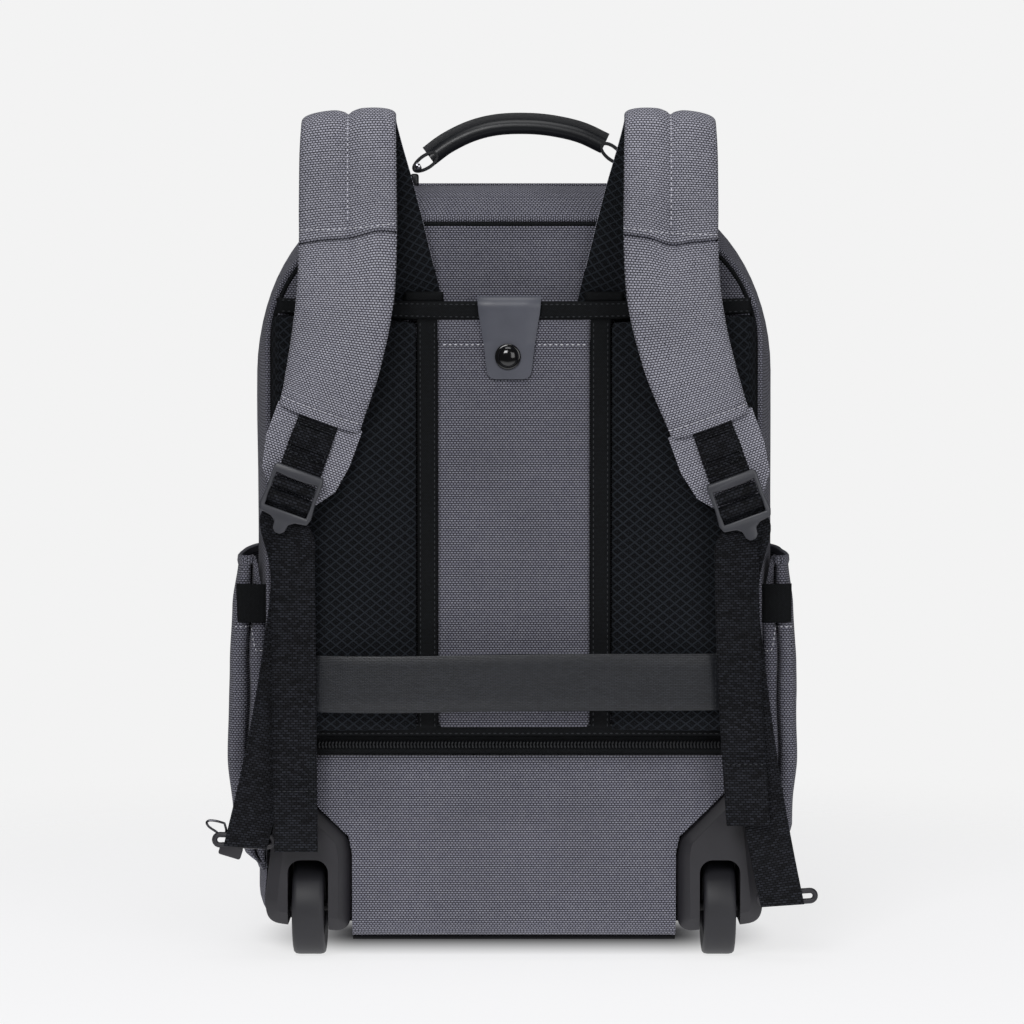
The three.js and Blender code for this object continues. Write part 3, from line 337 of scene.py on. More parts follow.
# Smooth-finished cowhide: low grain, soft gloss
tab_leather = grained("slate_smooth_leather", "#5a5c66", 0.4, 1.1, 0.06)
handle_leather = grained("black_smooth_leather", "#15171c", 0.38, 1.3, 0.06)
# Glass-filled nylon: dull grey with a moulded grain
buckle_nylon = grained("grey_moulded_nylon", "#45464c", 0.4, 0.6, 0.05)
# ABS with a spark-eroded grain
housing_abs = grained("charcoal_moulded_abs", "#29282d", 0.48, 0.7, 0.06)
# Polyurethane tyre: softer light than the housing
tyre_rubber = grained("dark_polyurethane_tyre", "#242429", 0.5, 0.5, 0.04)
# Lacquered brass cap: black and glossy
snap_lacquer = grained("black_lacquered_snap", "#08080a", 0.12, 4.0, 0.0, Coat_Weight=0.6, Coat_Roughness=0.05)
# Nickel-plated steel wire
plated_steel = grained("nickel_plated_steel", "#b4b4b9", 0.2, 2.0, 0.01, Metallic=1.0)
# Black nickel over steel wire
black_nickel = grained("black_nickel_wire", "#3a3a3e", 0.22, 2.0, 0.01, Metallic=1.0)
# Spun polyester thread, lighter than the cloth
thread = grained("light_grey_polyester_thread", "#e2e2ea", 0.8, 0.4, 0.03)
dark_thread = grained("black_polyester_thread", "#2b2e33", 0.7, 0.4, 0.03)
# Nylon zip coil
coil_nylon = grained("black_nylon_coil", "#1b1d21", 0.4, 0.5, 0.02)
print("finishes:", len(bpy.data.materials))

# %% [markdown]
# ## Tools for cloth pieces
# Most soft pieces are a sweep or a grid. A sweep starts as one ring of vertices that is extruded from
# place to place. A grid starts flat and each of its points is moved to where the cloth lies. Both get
# the "cloth" UV map in millimetres, so the weave runs along the piece.


def keep(name, shape, material, body="bag", angle=40):
    """Makes the bmesh an object at the origin that rides on a body."""
    mesh = bpy.data.meshes.new(name)
    shape.to_mesh(mesh)
    shape.free()
    for face in mesh.polygons:
        face.use_smooth = True
    mesh.set_sharp_from_angle(angle=math.radians(angle))
    mesh.materials.append(material)
    made = bpy.data.objects.new(name, mesh)
    scene.collection.objects.link(made)
    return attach(made, body) or made


def flat_map(shape):
    """UVs in millimetres that look at each face from its flattest side."""
    cloth = shape.loops.layers.uv.get("cloth") or shape.loops.layers.uv.new("cloth")
    shape.normal_update()
    for face in shape.faces:
        way = max(range(3), key=lambda i: abs(face.normal[i]))
        u, v = [(1, 2), (0, 2), (0, 1)][way]
        for loop in face.loops:
            loop[cloth].uv = (loop.vert.co[u] / MM, loop.vert.co[v] / MM)
    return shape


def sweep(rings, closed=False, capped=True):
    """A bmesh skin through rings of as many points each, with its UVs round and along."""
    shape = bmesh.new()
    cloth = shape.loops.layers.uv.new("cloth")
    count = len(rings[0])
    ring = [shape.verts.new(p) for p in rings[0]]
    first = [shape.edges.new((ring[i], ring[(i + 1) % count])) for i in range(count)]
    place = {v: (i, 0) for i, v in enumerate(ring)}
    edges = first
    for row, points in enumerate(rings[1:], 1):
        made = bmesh.ops.extrude_edge_only(shape, edges=edges)["geom"]
        fresh = {v for v in made if isinstance(v, bmesh.types.BMVert)}
        ring = [next(e.other_vert(v) for e in v.link_edges if e.other_vert(v) in fresh) for v in ring]
        edges = [shape.edges.get((ring[i], ring[(i + 1) % count])) for i in range(count)]
        for i, v in enumerate(ring):
            v.co = points[i]
            place[v] = (i, row)
    widest = max(rings, key=lambda r: sum((a - b).length for a, b in zip(r, r[1:])))
    around = [0.0]
    for a, b in zip(widest, widest[1:] + widest[:1]):
        around.append(around[-1] + (b - a).length / MM)
    along = [0.0]
    for a, b in zip(rings, rings[1:]):
        along.append(along[-1] + sum((q - p).length for p, q in zip(a, b)) / count / MM)
    for face in shape.faces:
        wraps = {place[l.vert][0] for l in face.loops} >= {0, count - 1} and count > 2
        for loop in face.loops:
            i, row = place[loop.vert]
            loop[cloth].uv = (around[count if wraps and i == 0 else i], along[row])
    if closed:
        bmesh.ops.bridge_loops(shape, edges=first + edges)
    elif capped:
        bmesh.ops.holes_fill(shape, edges=first + edges)
    bmesh.ops.recalc_face_normals(shape, faces=shape.faces)
    return shape


def draped(across, up, place):
    """A grid of points, each moved to place(share across, share up), with UVs in millimetres."""
    shape = bmesh.new()
    bmesh.ops.create_grid(shape, x_segments=across, y_segments=up, size=1)
    for v in shape.verts:
        v.co = place((v.co.x + 1) / 2, (v.co.y + 1) / 2)
    return flat_map(shape)


def add_to(shape, part):
    """Puts one bmesh into another and drops it."""
    mesh = bpy.data.meshes.new("part")
    part.to_mesh(mesh)
    part.free()
    shape.from_mesh(mesh)


def settled(made):
    """The object with its modifiers applied to its mesh."""
    view = bpy.context.evaluated_depsgraph_get()
    mesh = bpy.data.meshes.new_from_object(made.evaluated_get(view))
    made.modifiers.clear()
    made.data = mesh
    return made


def thicken(made, thick, inward=True, bevel=0.0):
    """Gives a cloth skin its thickness in millimetres, and rounds its cut edges."""
    wall = made.modifiers.new("thickness", "SOLIDIFY")
    wall.thickness = thick * MM
    wall.offset = -1 if inward else 1
    wall.use_even_offset = False
    if bevel:
        edge = made.modifiers.new("edges", "BEVEL")
        edge.width = bevel * MM
        edge.segments = 2
        edge.limit_method = "ANGLE"
        edge.angle_limit = math.radians(50)
    return settled(made)


def tube(points, radius, sides=8, closed=False):
    """A round bar along points, as a bmesh."""
    rings = []
    for i, p in enumerate(points):
        before = points[i - 1] if i or closed else p
        after = points[(i + 1) % len(points)] if i + 1 < len(points) or closed else p
        way = (after - before).normalized()
        side = way.cross(Vector((0, 1, 0)) if abs(way.y) < 0.9 else Vector((1, 0, 0))).normalized()
        up = side.cross(way)
        rings.append([
            p + (side * math.cos(a) + up * math.sin(a)) * radius * MM
            for a in (2 * math.pi * k / sides for k in range(sides))
        ])
    if closed:
        rings.append(rings[0])
    shape = sweep(rings, capped=not closed)
    if closed:
        bmesh.ops.remove_doubles(shape, verts=shape.verts, dist=1e-6)
    return shape


def smooth(t):
    """An easy change from 0 to 1."""
    t = min(1.0, max(0.0, t))
    return t * t * (3 - 2 * t)


def eased(table, at):
    """The value of a table at a place, smoothed between its rows."""
    for (a, low), (b, high) in zip(table, table[1:]):
        if at <= b:
            t = (at - a) / (b - a)
            return low + (high - low) * (0.35 * t + 0.65 * t * t * (3 - 2 * t))
    return table[-1][1]


def ripple(x, z, size, seed=0.0):
    """Soft uneven waves between -1 and 1, of a size in millimetres."""
    return noise.noise(Vector((x / size, seed, z / size)))


def through(points, steps):
    """Places and directions along a smooth centripetal curve through points."""
    line = [2 * points[0] - points[1], *points, 2 * points[-1] - points[-2]]
    made = []
    for i in range(steps + 1):
        t = i / steps * (len(points) - 1)
        k = min(int(t), len(points) - 2)
        t -= k
        p0, p1, p2, p3 = line[k : k + 4]
        d0, d1, d2 = (max((b - a).length, 1e-9) ** 0.5 for a, b in ((p0, p1), (p1, p2), (p2, p3)))
        t1 = ((p1 - p0) / d0 - (p2 - p0) / (d0 + d1) + (p2 - p1) / d1) * d1
        t2 = ((p2 - p1) / d1 - (p3 - p1) / (d1 + d2) + (p3 - p2) / d2) * d1
        a, b = p2 - p1, t1 + t2
        place = p1 + t1 * t + (3 * a - t1 - b) * t**2 + (b - 2 * a) * t**3
        way = t1 + 2 * (3 * a - t1 - b) * t + 3 * (b - 2 * a) * t**2
        made.append((place, way.normalized()))
    return made


print("tools ready")

# %% [markdown]
# ## The body
# The bag is a front and a back panel joined by a gusset, a wide band that runs round the sides and the
# top. The band is sewn to both panels, so it is drawn in at the seams and bulges between them. The same
# outline serves all three: round feet, straight sides and wide shoulders.

# %% Outlines of the body
FLOOR_GAP = 12
FOOT_CORNER = 30
PANEL = 4.3
FULL = {"half": 160.4, "top": 479, "wide": 93, "high": 116}
BACK = {"half": 152.8, "top": 458, "wide": 76, "high": 78}
FRONT = {"half": 148, "top": 464, "wide": 93, "high": 128}


def outline(section, inset=0.0, steps=18):
    """The points round one cross-section, from the middle of its foot and back, as across and up."""
    half, top = section["half"] - inset, section["top"] - inset
    foot, low = FOOT_CORNER - inset, FLOOR_GAP + inset
    wide, high = section["wide"] - inset, section["high"] - inset
    right = [(share * (half - foot), low) for share in (0.25, 0.5, 0.75)]
    for k in range(9):
        turn = (k / 8 - 1) * math.pi / 2
        right.append((half - foot + foot * math.cos(turn), low + foot + foot * math.sin(turn)))
    for share in np.linspace(0, 1, 22)[1:-1]:
        right.append((half, low + foot + share * (top - high - low - foot)))
    for k in range(steps + 1):
        turn = k / steps * math.pi / 2
        right.append((half - wide + wide * math.cos(turn), top - high + high * math.sin(turn)))
    right += [(share * (half - wide), top) for share in (0.75, 0.5, 0.25)]
    left = [(-x, z) for x, z in reversed(right)]
    return [(0, low), *right, (0, top), *left]


def bulge(along):
    """How far the gusset stands out between its seams, from 0 to 1, along its depth."""
    if along < 0.22:
        return 1 - (1 - along / 0.22) ** 2.4
    return 1 - max(0, (along - 0.78) / 0.22) ** 2


def section_at(along):
    end = BACK if along < 0.5 else FRONT
    return {key: end[key] + (FULL[key] - end[key]) * bulge(along) for key in FULL}


def half_at(section, z, inset=0.0):
    """Half the width of a cross-section at a height."""
    half, top = section["half"] - inset, section["top"] - inset
    foot, low = FOOT_CORNER - inset, FLOOR_GAP + inset
    wide, high = section["wide"] - inset, section["high"] - inset
    if z < low + foot:
        return half - foot + math.sqrt(max(0, foot**2 - (low + foot - z) ** 2))
    if z > top - high:
        return half - wide + wide * math.sqrt(max(0, 1 - ((z - top + high) / high) ** 2))
    return half


print("points round the body:", len(outline(FULL)))

# %% [markdown]
# The wheel housings fill the two lower back corners. Their outline comes from the CAD model's own
# housing, and a slightly larger room for it is cut out of the gusset and the lower cloth. The legs of
# the housing end a little above the floor of the bag, so the room goes on below them.

# %% Housing outline and the cut for it
HOUSING_BACK = -5
HOUSING_FRONT = 66
HOUSING_INNER = 100.4
HOUSING_WIDE = 54
HOUSING_HIGH = 95
HOUSING_ROWS = ((0.12, 0.06), (0.01, 0.11), (0, 0.57), (0.04, 0.68), (0.6, 1), (0.85, 1), (0.91, 0.65),
                (0.99, 0.26), (0.965, 0.16), (0.88, 0.115))
ROOM_ROWS = ((0, -0.1), *HOUSING_ROWS[2:8], (0.99, -0.1))


def block(points, back, front, side=1):
    """A bmesh prism from an outline across and up, between two depths."""
    shape = bmesh.new()
    ring = [shape.verts.new(spot(side * x, back, z)) for x, z in points]
    shape.faces.new(ring)
    pushed = bmesh.ops.extrude_face_region(shape, geom=shape.faces[:])["geom"]
    moved = [v for v in pushed if isinstance(v, bmesh.types.BMVert)]
    bmesh.ops.translate(shape, verts=moved, vec=(0, (front - back) * MM, 0))
    bmesh.ops.recalc_face_normals(shape, faces=shape.faces)
    return shape


def housing_outline(table, grow=0.0):
    middle = (HOUSING_INNER + HOUSING_WIDE / 2, FLOOR_GAP + HOUSING_HIGH / 2)
    points = []
    for across, up in table:
        x, z = HOUSING_INNER + across * HOUSING_WIDE, FLOOR_GAP + up * HOUSING_HIGH
        points.append((x + math.copysign(grow, x - middle[0]), z + math.copysign(grow, z - middle[1])))
    return points


def cut_away(made, cutters):
    """Takes the cutters' shapes out of a piece and drops them."""
    for shape in cutters:
        mesh = bpy.data.meshes.new("cutter")
        shape.to_mesh(mesh)
        shape.free()
        tool = bpy.data.objects.new("cutter", mesh)
        scene.collection.objects.link(tool)
        cut = made.modifiers.new("cut", "BOOLEAN")
        cut.object = tool
        cut.solver = "EXACT"
        settled(made)
        bpy.data.objects.remove(tool)
    return made


def housing_room():
    return [block(housing_outline(ROOM_ROWS, 0.7), -40, HOUSING_FRONT + 0.6, side) for side in SIDES.values()]


print("housing corners:", len(HOUSING_ROWS))

# %% [markdown]
# The gusset is swept from the back seam to the front seam through many rings, with soft waves where
# the cloth isn't held. Then it gets its wall, and the housings are cut out of it.

# %% Gusset
GUSSET_ROWS = 30
GUSSET_WAVE = 1.1
GUSSET_WALL = 2.4


def gusset_ring(row):
    along = 0.5 - 0.5 * math.cos(math.pi * row / GUSSET_ROWS)
    deep = PANEL + along * (BODY_DEPTH - 2 * PANEL)
    slack = math.sin(math.pi * along) ** 0.5
    points = outline(section_at(along))
    ring = []
    for i, (x, z) in enumerate(points):
        before, after = points[i - 1], points[(i + 1) % len(points)]
        way = Vector((after[1] - before[1], 0, before[0] - after[0])).normalized()
        wave = slack * GUSSET_WAVE * (ripple(deep * 3 + z * 0.3, x + z, 70) - 0.5)
        ring.append(spot(x + way.x * wave, deep, z + way.z * wave))
    return ring


gusset = keep("gusset", sweep([gusset_ring(r) for r in range(GUSSET_ROWS + 1)], capped=False), body_cloth)
thicken(gusset, GUSSET_WALL)
cut_away(gusset, housing_room())
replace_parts(gusset, "main_shell")
print("gusset faces:", len(gusset.data.polygons))

# %% [markdown]
# The panels are grids whose rows follow the outline's width. The back panel only shows above the pads,
# where it is slack, and it keeps between the housings at its foot. The front panel swells evenly. A black
# cord runs along the back seam, inside the piping, as painted shade for the dark line of the seam's fold.

# %% Back and front panels
PIPING = 1.8
RIM = 2 * PIPING + 0.3


def panel_place(section, deep, swell, inset, clear_below=0):
    """Where a panel's cloth lies: its share across and up, swollen away from the seam."""
    low, top = FLOOR_GAP + inset, section["top"] - inset

    def place(across, up):
        s, rise = 2 * across - 1, 0.5 - 0.5 * math.cos(math.pi * up)
        s = math.sin(s * math.pi / 2)
        z = low + rise * (top - low)
        x = s * (HOUSING_INNER - 1 if z < clear_below else half_at(section, z, inset))
        soft = (1 - abs(s) ** 3) * min(1, 8 * up * (1 - up))
        wave = ripple(x, z, 60, 3.0) * soft
        return spot(x, deep + swell * soft + wave, z)

    return place


back_panel = keep("back_panel", draped(56, 90, panel_place(BACK, 1.2, -0.6, RIM, 112)), body_cloth)
front_panel = keep("front_face", draped(60, 96, panel_place(FRONT, BODY_DEPTH - 1, 11, RIM)), body_cloth)
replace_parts(thicken(back_panel, 2.4), "back_wall")
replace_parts(thicken(front_panel, 3.6, inward=False), "front_panel")


def piping(name, section, inset, deep, radius, material, from_up):
    line = [(x, z) for x, z in outline(section, inset, 30)[1:] if z > from_up]
    return keep(name, tube([spot(x, deep, z) for x, z in line], radius, 8, closed=not from_up), material)


ABOVE_HOUSING = FLOOR_GAP + HOUSING_HIGH + 1
back_cord = piping("back_piping", BACK, PIPING, PANEL - PIPING, PIPING, body_cloth, ABOVE_HOUSING)
front_cord = piping("front_piping", FRONT, PIPING, BODY_DEPTH - PANEL + PIPING, PIPING, body_cloth, 0)
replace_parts(back_cord, "piping_back")
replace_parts(front_cord, "piping_front")
# Painted shade: a black cord where the back seam's fold lies in shadow
piping("back_seam_shade_cord", BACK, RIM + 0.8, 1.0, 1.1, grosgrain, ABOVE_HOUSING)
print("panels and pipings sewn in")

# %% [markdown]
# A storm flap covers the main zip on the gusset. It starts on one side, goes over the top and ends on
# the other side, as a flat band with rounded edges.

# %% Storm flap
FLAP_DEEP = 106
FLAP_WIDE = 22
FLAP_THICK = 2.6
FLAP_UP = 302
FLAP_SECTION = ((-1, 0), (-1, 0.6), (-0.9, 1), (0.9, 1), (1, 0.6), (1, 0))


def flap_rings():
    line = [(x, z) for x, z in outline(FULL, -0.3, 40)[1:] if z > FLAP_UP + 4]
    line = [(line[0][0], FLAP_UP), *line, (line[-1][0], FLAP_UP)]
    rings = []
    for i, (x, z) in enumerate(line):
        before, after = line[max(0, i - 1)], line[min(len(line) - 1, i + 1)]
        out = Vector((after[1] - before[1], 0, before[0] - after[0])).normalized()
        rings.append([
            spot(x, FLAP_DEEP + wide * FLAP_WIDE / 2, z) + out * (0.4 + rise * FLAP_THICK) * MM
            for wide, rise in FLAP_SECTION
        ])
    return rings


flap = keep("storm_flap", sweep(flap_rings()), body_cloth)
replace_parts(flap, "main_zip_flap")
print("storm flap runs over", len(flap_rings()), "rings")

# %% [markdown]
# ## The back overlay
# A second layer lies over the back panel, open at the top, where the straps can be put away. It has a
# padded mesh pad at each side, a cloth panel in the middle, black tape over every seam, and a binding
# at its foot. A pad is foam in mesh, so its CAD shape is remeshed and blown up a little with a cloth
# simulation, which rounds it between its sewn edges.

# %% Simulated padding
VOXEL = 4.0
PRESSURE = 4.0
FRAMES = 20


def merged(node_name):
    """A bmesh copy of a CAD node with its corners joined."""
    shape = bmesh.new()
    shape.from_mesh(frame["nodes"][node_name].data)
    bmesh.ops.remove_doubles(shape, verts=shape.verts, dist=1e-6)
    return shape


def stuffed(name, shape, material, cap, held, voxel=VOXEL):
    """A padded piece: pinned where held(place) is 1, and swollen by cloth pressure where it is less."""
    made = keep(name, shape, material)
    if voxel:
        remesh = made.modifiers.new("remesh", "REMESH")
        remesh.mode = "VOXEL"
        remesh.voxel_size = voxel * MM
        settled(made)
    rest = [v.co.copy() for v in made.data.vertices]
    holds = [held(place) for place in rest]
    pins = made.vertex_groups.new(name="sewn")
    for v, hold in zip(made.data.vertices, holds):
        pins.add([v.index], float(hold > 0.9), "REPLACE")
    cloth = made.modifiers.new("cloth", "CLOTH")
    cloth.settings.use_pressure = True
    cloth.settings.uniform_pressure_force = PRESSURE
    cloth.settings.vertex_group_mass = "sewn"
    cloth.settings.effector_weights.gravity = 0
    cloth.settings.quality = 4
    cloth.point_cache.frame_start = 1
    cloth.point_cache.frame_end = FRAMES
    for step in range(1, FRAMES + 1):
        scene.frame_set(step)
    settled(made)
    scene.frame_set(1)
    for v, start, hold in zip(made.data.vertices, rest, holds):
        way = v.co - start
        if way.length > cap * MM:
            way = way.normalized() * cap * MM
        v.co = start + way * (1 - hold)
    made.data.materials.clear()
    made.data.materials.append(material)
    soft = made.modifiers.new("soft", "SUBSURF")
    soft.levels = soft.render_levels = 1
    settled(made)
    finished = bmesh.new()
    finished.from_mesh(made.data)
    if voxel:
        flat_map(finished)
    for face in finished.faces:
        face.smooth = True
    finished.to_mesh(made.data)
    finished.free()
    return made


print("padding runs for", FRAMES, "frames at", PRESSURE, "pressure")

# %% Mesh pads
PAD_EDGE_HELD = 5.0
PAD_CAP = 2.5
MOUTH_HALF = 144.5
MOUTH_LOW = 391.4
OVERLAY_TOP = 403


def mouth(x):
    """How far the foot and the top of the mouth's tape lie above MOUTH_LOW and OVERLAY_TOP: its ends rise."""
    share = (x / MOUTH_HALF) ** 2
    return 3.0 + 4.2 * share, 2.7 + 2.6 * share


def pad_held(node_name):
    """Sewn at its four edges and flat on its back."""
    low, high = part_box(node_name)

    def held(place):
        to_edge = min(place.x - low.x, high.x - place.x, place.z - low.z, high.z - place.z) / MM
        return 1.0 if place.y > low.y + 8 * MM else 1 - smooth((to_edge - 2) / PAD_EDGE_HELD)

    return held


for side in SIDES:
    source = f"mesh_pad_{side}"
    pad = stuffed(f"spacer_pad_{side}", merged(source), mesh_cloth, PAD_CAP, pad_held(source))
    for v in pad.data.vertices:
        v.co.z += mouth(v.co.x / MM)[0] * smooth((v.co.z / MM - 320) / 70) * MM
    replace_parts(pad, source)
print("mesh pads:", len(pad.data.polygons), "faces each")

# %% [markdown]
# The flat cloth pieces of the overlay are grids with a wall: the middle panel with its folded top, the
# tapes over the seams and the binding. Cloth under a tape is never quite flat, so a slow wave runs
# through them, and their edges roll back. The tape along the mouth sags between its ends.

# %% Middle panel, tapes and binding
PAD_FROM = 143.3
PAD_TO = 395.5
STOW = 7
FOLD_LINE = 381.5


def cloth_strip(name, across, up, deep, thick, material, cells=(12, 60), puff=0.0, wave=0.3, roll=1.2):
    """A strip between two places across and two heights, whose face lies at a depth."""
    (x0, x1), (z0, z1) = across, up
    roll_reach = 2.2

    def place(s, t):
        x, z = x0 + s * (x1 - x0), z0 + t * (z1 - z0)
        edge = min(s * (x1 - x0), (1 - s) * (x1 - x0), t * (z1 - z0), (1 - t) * (z1 - z0))
        turn = roll * max(0.0, 1 - edge / roll_reach) ** 2
        soft = (1 - (2 * s - 1) ** 4) * (1 - (2 * t - 1) ** 8)
        return spot(x, deep - puff * soft + turn + wave * soft * ripple(x, z, 34, deep), z)

    return thicken(keep(name, draped(*cells, place), material), thick)


centre = cloth_strip("centre_cloth", (-46.6, 46.6), (PAD_FROM, PAD_TO), -STOW - 3.4, 2.6, body_cloth,
                     cells=(40, 100), puff=0.8, wave=0.7)
for v in centre.data.vertices:
    z = v.co.z / MM
    if v.co.y < BACK_FACE - (STOW + 1) * MM:
        fold = math.exp(-(((z - FOLD_LINE) / 1.3) ** 2))
        v.co.y += fold * 0.9 * MM - (0.9 * MM if z > FOLD_LINE else 0.0)
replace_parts(centre, "centre_panel")
for side, way in SIDES.items():
    edges = sorted((way * 46.5, way * 59.2))
    strip = cloth_strip(f"seam_tape_{side}", edges, (PAD_FROM, PAD_TO), -STOW - 4.0, 3, grosgrain)
    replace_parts(strip, f"tape_{side}")
    base = sorted((way * 43, way * 67))
    cloth_strip(f"strap_base_tape_{side}", base, (405.2, 412), -STOW - 1.5, 2.4, grosgrain, (12, 5))
top_tape = cloth_strip("stow_mouth_tape", (-MOUTH_HALF, MOUTH_HALF), (MOUTH_LOW, OVERLAY_TOP), -STOW - 4.2,
                       3.2, grosgrain, (120, 8), wave=0.8)
for v in top_tape.data.vertices:
    foot_rise, top_rise = mouth(v.co.x / MM)
    share = (v.co.z / MM - MOUTH_LOW) / (OVERLAY_TOP - MOUTH_LOW)
    v.co.z += (foot_rise + share * (top_rise - foot_rise)) * MM
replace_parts(top_tape, "top_tape")
binding = cloth_strip("foot_binding", (-148.1, 148.1), (140.2, 148.2), -STOW - 3.2, 7, grosgrain, (120, 8))
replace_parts(binding, "bottom_binding")
print("overlay strips in place")

# %% [markdown]
# The lower cloth panel is drawn tight over the base of the bag: it swells a little, and rolls under at
# its foot. The housings are cut out of its corners. A coil zip runs above it: two woven tapes with a
# nylon coil between them, made of one small link that is copied along.

# %% Lower panel and coil zip
LOWER_LOW = 14.5
LOWER_TOP = 127.6
LOWER_HALF = 148


def lower_place(s, t):
    x, z = LOWER_HALF * (2 * s - 1), LOWER_LOW + t * (LOWER_TOP - LOWER_LOW)
    under = max(0.0, 1 - (z - LOWER_LOW) / 13) ** 2
    top = max(0.0, 1 - (LOWER_TOP - z) / 7) ** 2
    swell = 5.0 * (1 - abs(2 * s - 1) ** 6) - 7.2 * under - 3.2 * top
    return spot(x, -1.2 - swell + 0.5 * ripple(x, z, 50, 8), z + 0.8 * under)


lower = keep("lower_cloth", draped(90, 40, lower_place), body_cloth)
thicken(lower, 1.0)
cut_away(lower, housing_room())
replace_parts(lower, "lower_panel")

ZIP_LOW = 128
ZIP_HIGH = 139.6
ZIP_HALF = 147
COIL_FROM, COIL_TO = -123, 130
COIL_STEP = 2.1

zip_cloth = keep("zip_tape", draped(100, 6, lambda s, t: spot(
    ZIP_HALF * (2 * s - 1), -1.6 - 0.9 * abs(2 * t - 1) ** 2, ZIP_LOW + t * (ZIP_HIGH - ZIP_LOW))), grosgrain)
thicken(zip_cloth, 1.0)
coil = bmesh.new()
for k in range(int((COIL_TO - COIL_FROM) / COIL_STEP)):
    x = COIL_FROM + (k + 0.5) * COIL_STEP
    middle = spot(x, -2.9, (ZIP_LOW + ZIP_HIGH) / 2)
    for lean, rise in ((0.35, 1), (-0.35, -1)):
        place = Matrix.Translation(middle + Vector((0, 0, rise * 1.0 * MM)))
        place @= Matrix.Rotation(lean, 4, "Y") @ Matrix.Diagonal((0.75 * MM, 0.8 * MM, 1.6 * MM, 1))
        bmesh.ops.create_icosphere(coil, subdivisions=1, radius=1.0, matrix=place)
coil = keep("zip_coil", coil, coil_nylon, angle=80)
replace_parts(zip_cloth, "lower_zip")
stops = bmesh.new()
for x in (COIL_FROM - 1, COIL_TO + 1):
    place = Matrix.Translation(spot(x, -3.2, (ZIP_LOW + ZIP_HIGH) / 2))
    bmesh.ops.create_icosphere(stops, subdivisions=2, radius=1.0,
                               matrix=place @ Matrix.Diagonal((1.4 * MM, 0.9 * MM, 3 * MM, 1)))
keep("zip_stops", stops, plated_steel, angle=80)
print("zip links:", len(coil.data.polygons) // 20)

# %% [markdown]
# ## Straps
# A shoulder strap is foam in cloth, with black mesh on the side that rests on the wearer. It comes up
# out of the stowing space, turns over at the top and hangs down in front. Its centreline is a smooth
# curve through the places of the CAD model's strap, and its section is laid across that line. It keeps
# this even mesh in the simulation. Then the seam down its middle, the step at its fold and the hem are
# pressed in, each at its own distance along the strap.

# %% Shoulder straps
STRAP_THICK = 13
STRAP_STAND = 36
STRAP_TOP = 517
STRAP_BASE = 393
STRAP_TURN = 20
STRAP_LIES = {
    "left": {"side": -1, "wide": 60.5, "base": 71, "top": 99.7, "fold": 0.398, "hem": 118, "drop": 183,
             "tail": 133.7, "tail_end": 133.2, "tail_drop": 263.5, "lower_end": 164.7, "lower_drop": 262,
             "bow": ((-1, -1.2), (-0.5, 0), (0, 0), (0.6, 3.4), (1, 2.0))},
    "right": {"side": 1, "wide": 58.5, "base": 65, "top": 94.2, "fold": 0.404, "hem": 119.5, "drop": 187,
              "tail": 134.6, "tail_end": 143.2, "tail_drop": 243.5, "lower_end": 164.8, "lower_drop": 294,
              "bow": ((-1, 3.0), (-0.5, 2.2), (0, -1.6), (0.5, 1.4), (1, 3.6))},
}
STRAP_ROWS = (
    # rises, way, lean, stand, turn, wide, thick
    (True, 0, 0, 0, -0.65, 1, 0.34),
    (True, 0.1, 0.1, 0.005, -0.65, 1, 0.36),
    (True, 0.28, 0.28, 0.14, -0.65, 1, 0.95),
    (True, 0.6, 0.62, 0.15, -0.55, 1, 1),
    (True, 0.85, 0.9, 0.15, -0.4, 0.98, 1),
    (True, 0.96, 1, 0.26, -0.3, 0.97, 0.92),
    (True, 1, 1, 0.53, -0.22, 0.97, 0.86),
    (False, 0.035, 0, 0.82, -0.22, 0.97, 0.92),
    (False, 0.12, 0, 0.96, -0.2, 0.99, 1),
    (False, 0.3, 0, 1.03, -0.2, 1, 1),
    (False, "fold", 0, 1.03, -0.2, 1, 0.9),
    (False, 0.6, 0.1, 1.02, 0.1, 1, 1),
    (False, 0.8, 0.45, 0.95, 0.6, 0.95, 0.95),
    (False, 0.93, 0.8, 0.82, 0.95, 0.89, 0.85),
    (False, 1, 1, 0.74, 1, 0.87, 0.7),
)
STRAP_CAP = 3.0
STRAP_STEPS = 112
FOLD_ROW = 10
FOLD_REACH = 26


def placed_rows(lie):
    rows = []
    for rises, way, lean, stand, turn, wide, thick in STRAP_ROWS:
        way = lie.get(way, way)
        low, high = ("base", "top") if rises else ("top", "hem")
        across = lie[low] + lean * (lie[high] - lie[low])
        z = STRAP_BASE + way * (STRAP_TOP - STRAP_BASE) if rises else STRAP_TOP - way * lie["drop"]
        rows.append({"place": spot(lie["side"] * across, -3 - stand * STRAP_STAND, z),
                     "turn": -lie["side"] * turn * STRAP_TURN, "half": wide * lie["wide"] / 2,
                     "thick": thick * STRAP_THICK})
    return rows


def frames_along(rows, steps):
    """Samples along rows: place, direction, directions across and outwards, half width, thickness."""
    samples = []
    line = through([row["place"] for row in rows], steps)
    run = 0.0
    for i, (place, way) in enumerate(line):
        t = i / steps * (len(rows) - 1)
        k = min(int(t), len(rows) - 2)
        mix = {key: rows[k][key] + (t - k) * (rows[k + 1][key] - rows[k][key])
               for key in ("turn", "half", "thick")}
        angle = math.radians(mix["turn"])
        wide = Vector((math.cos(angle), 0, -math.sin(angle)))
        run += (place - line[i - 1][0]).length / MM if i else 0
        samples.append({"place": place, "way": way, "wide": wide, "deep": way.cross(wide).normalized(),
                        "run": run, "row": t, **mix})
    return samples


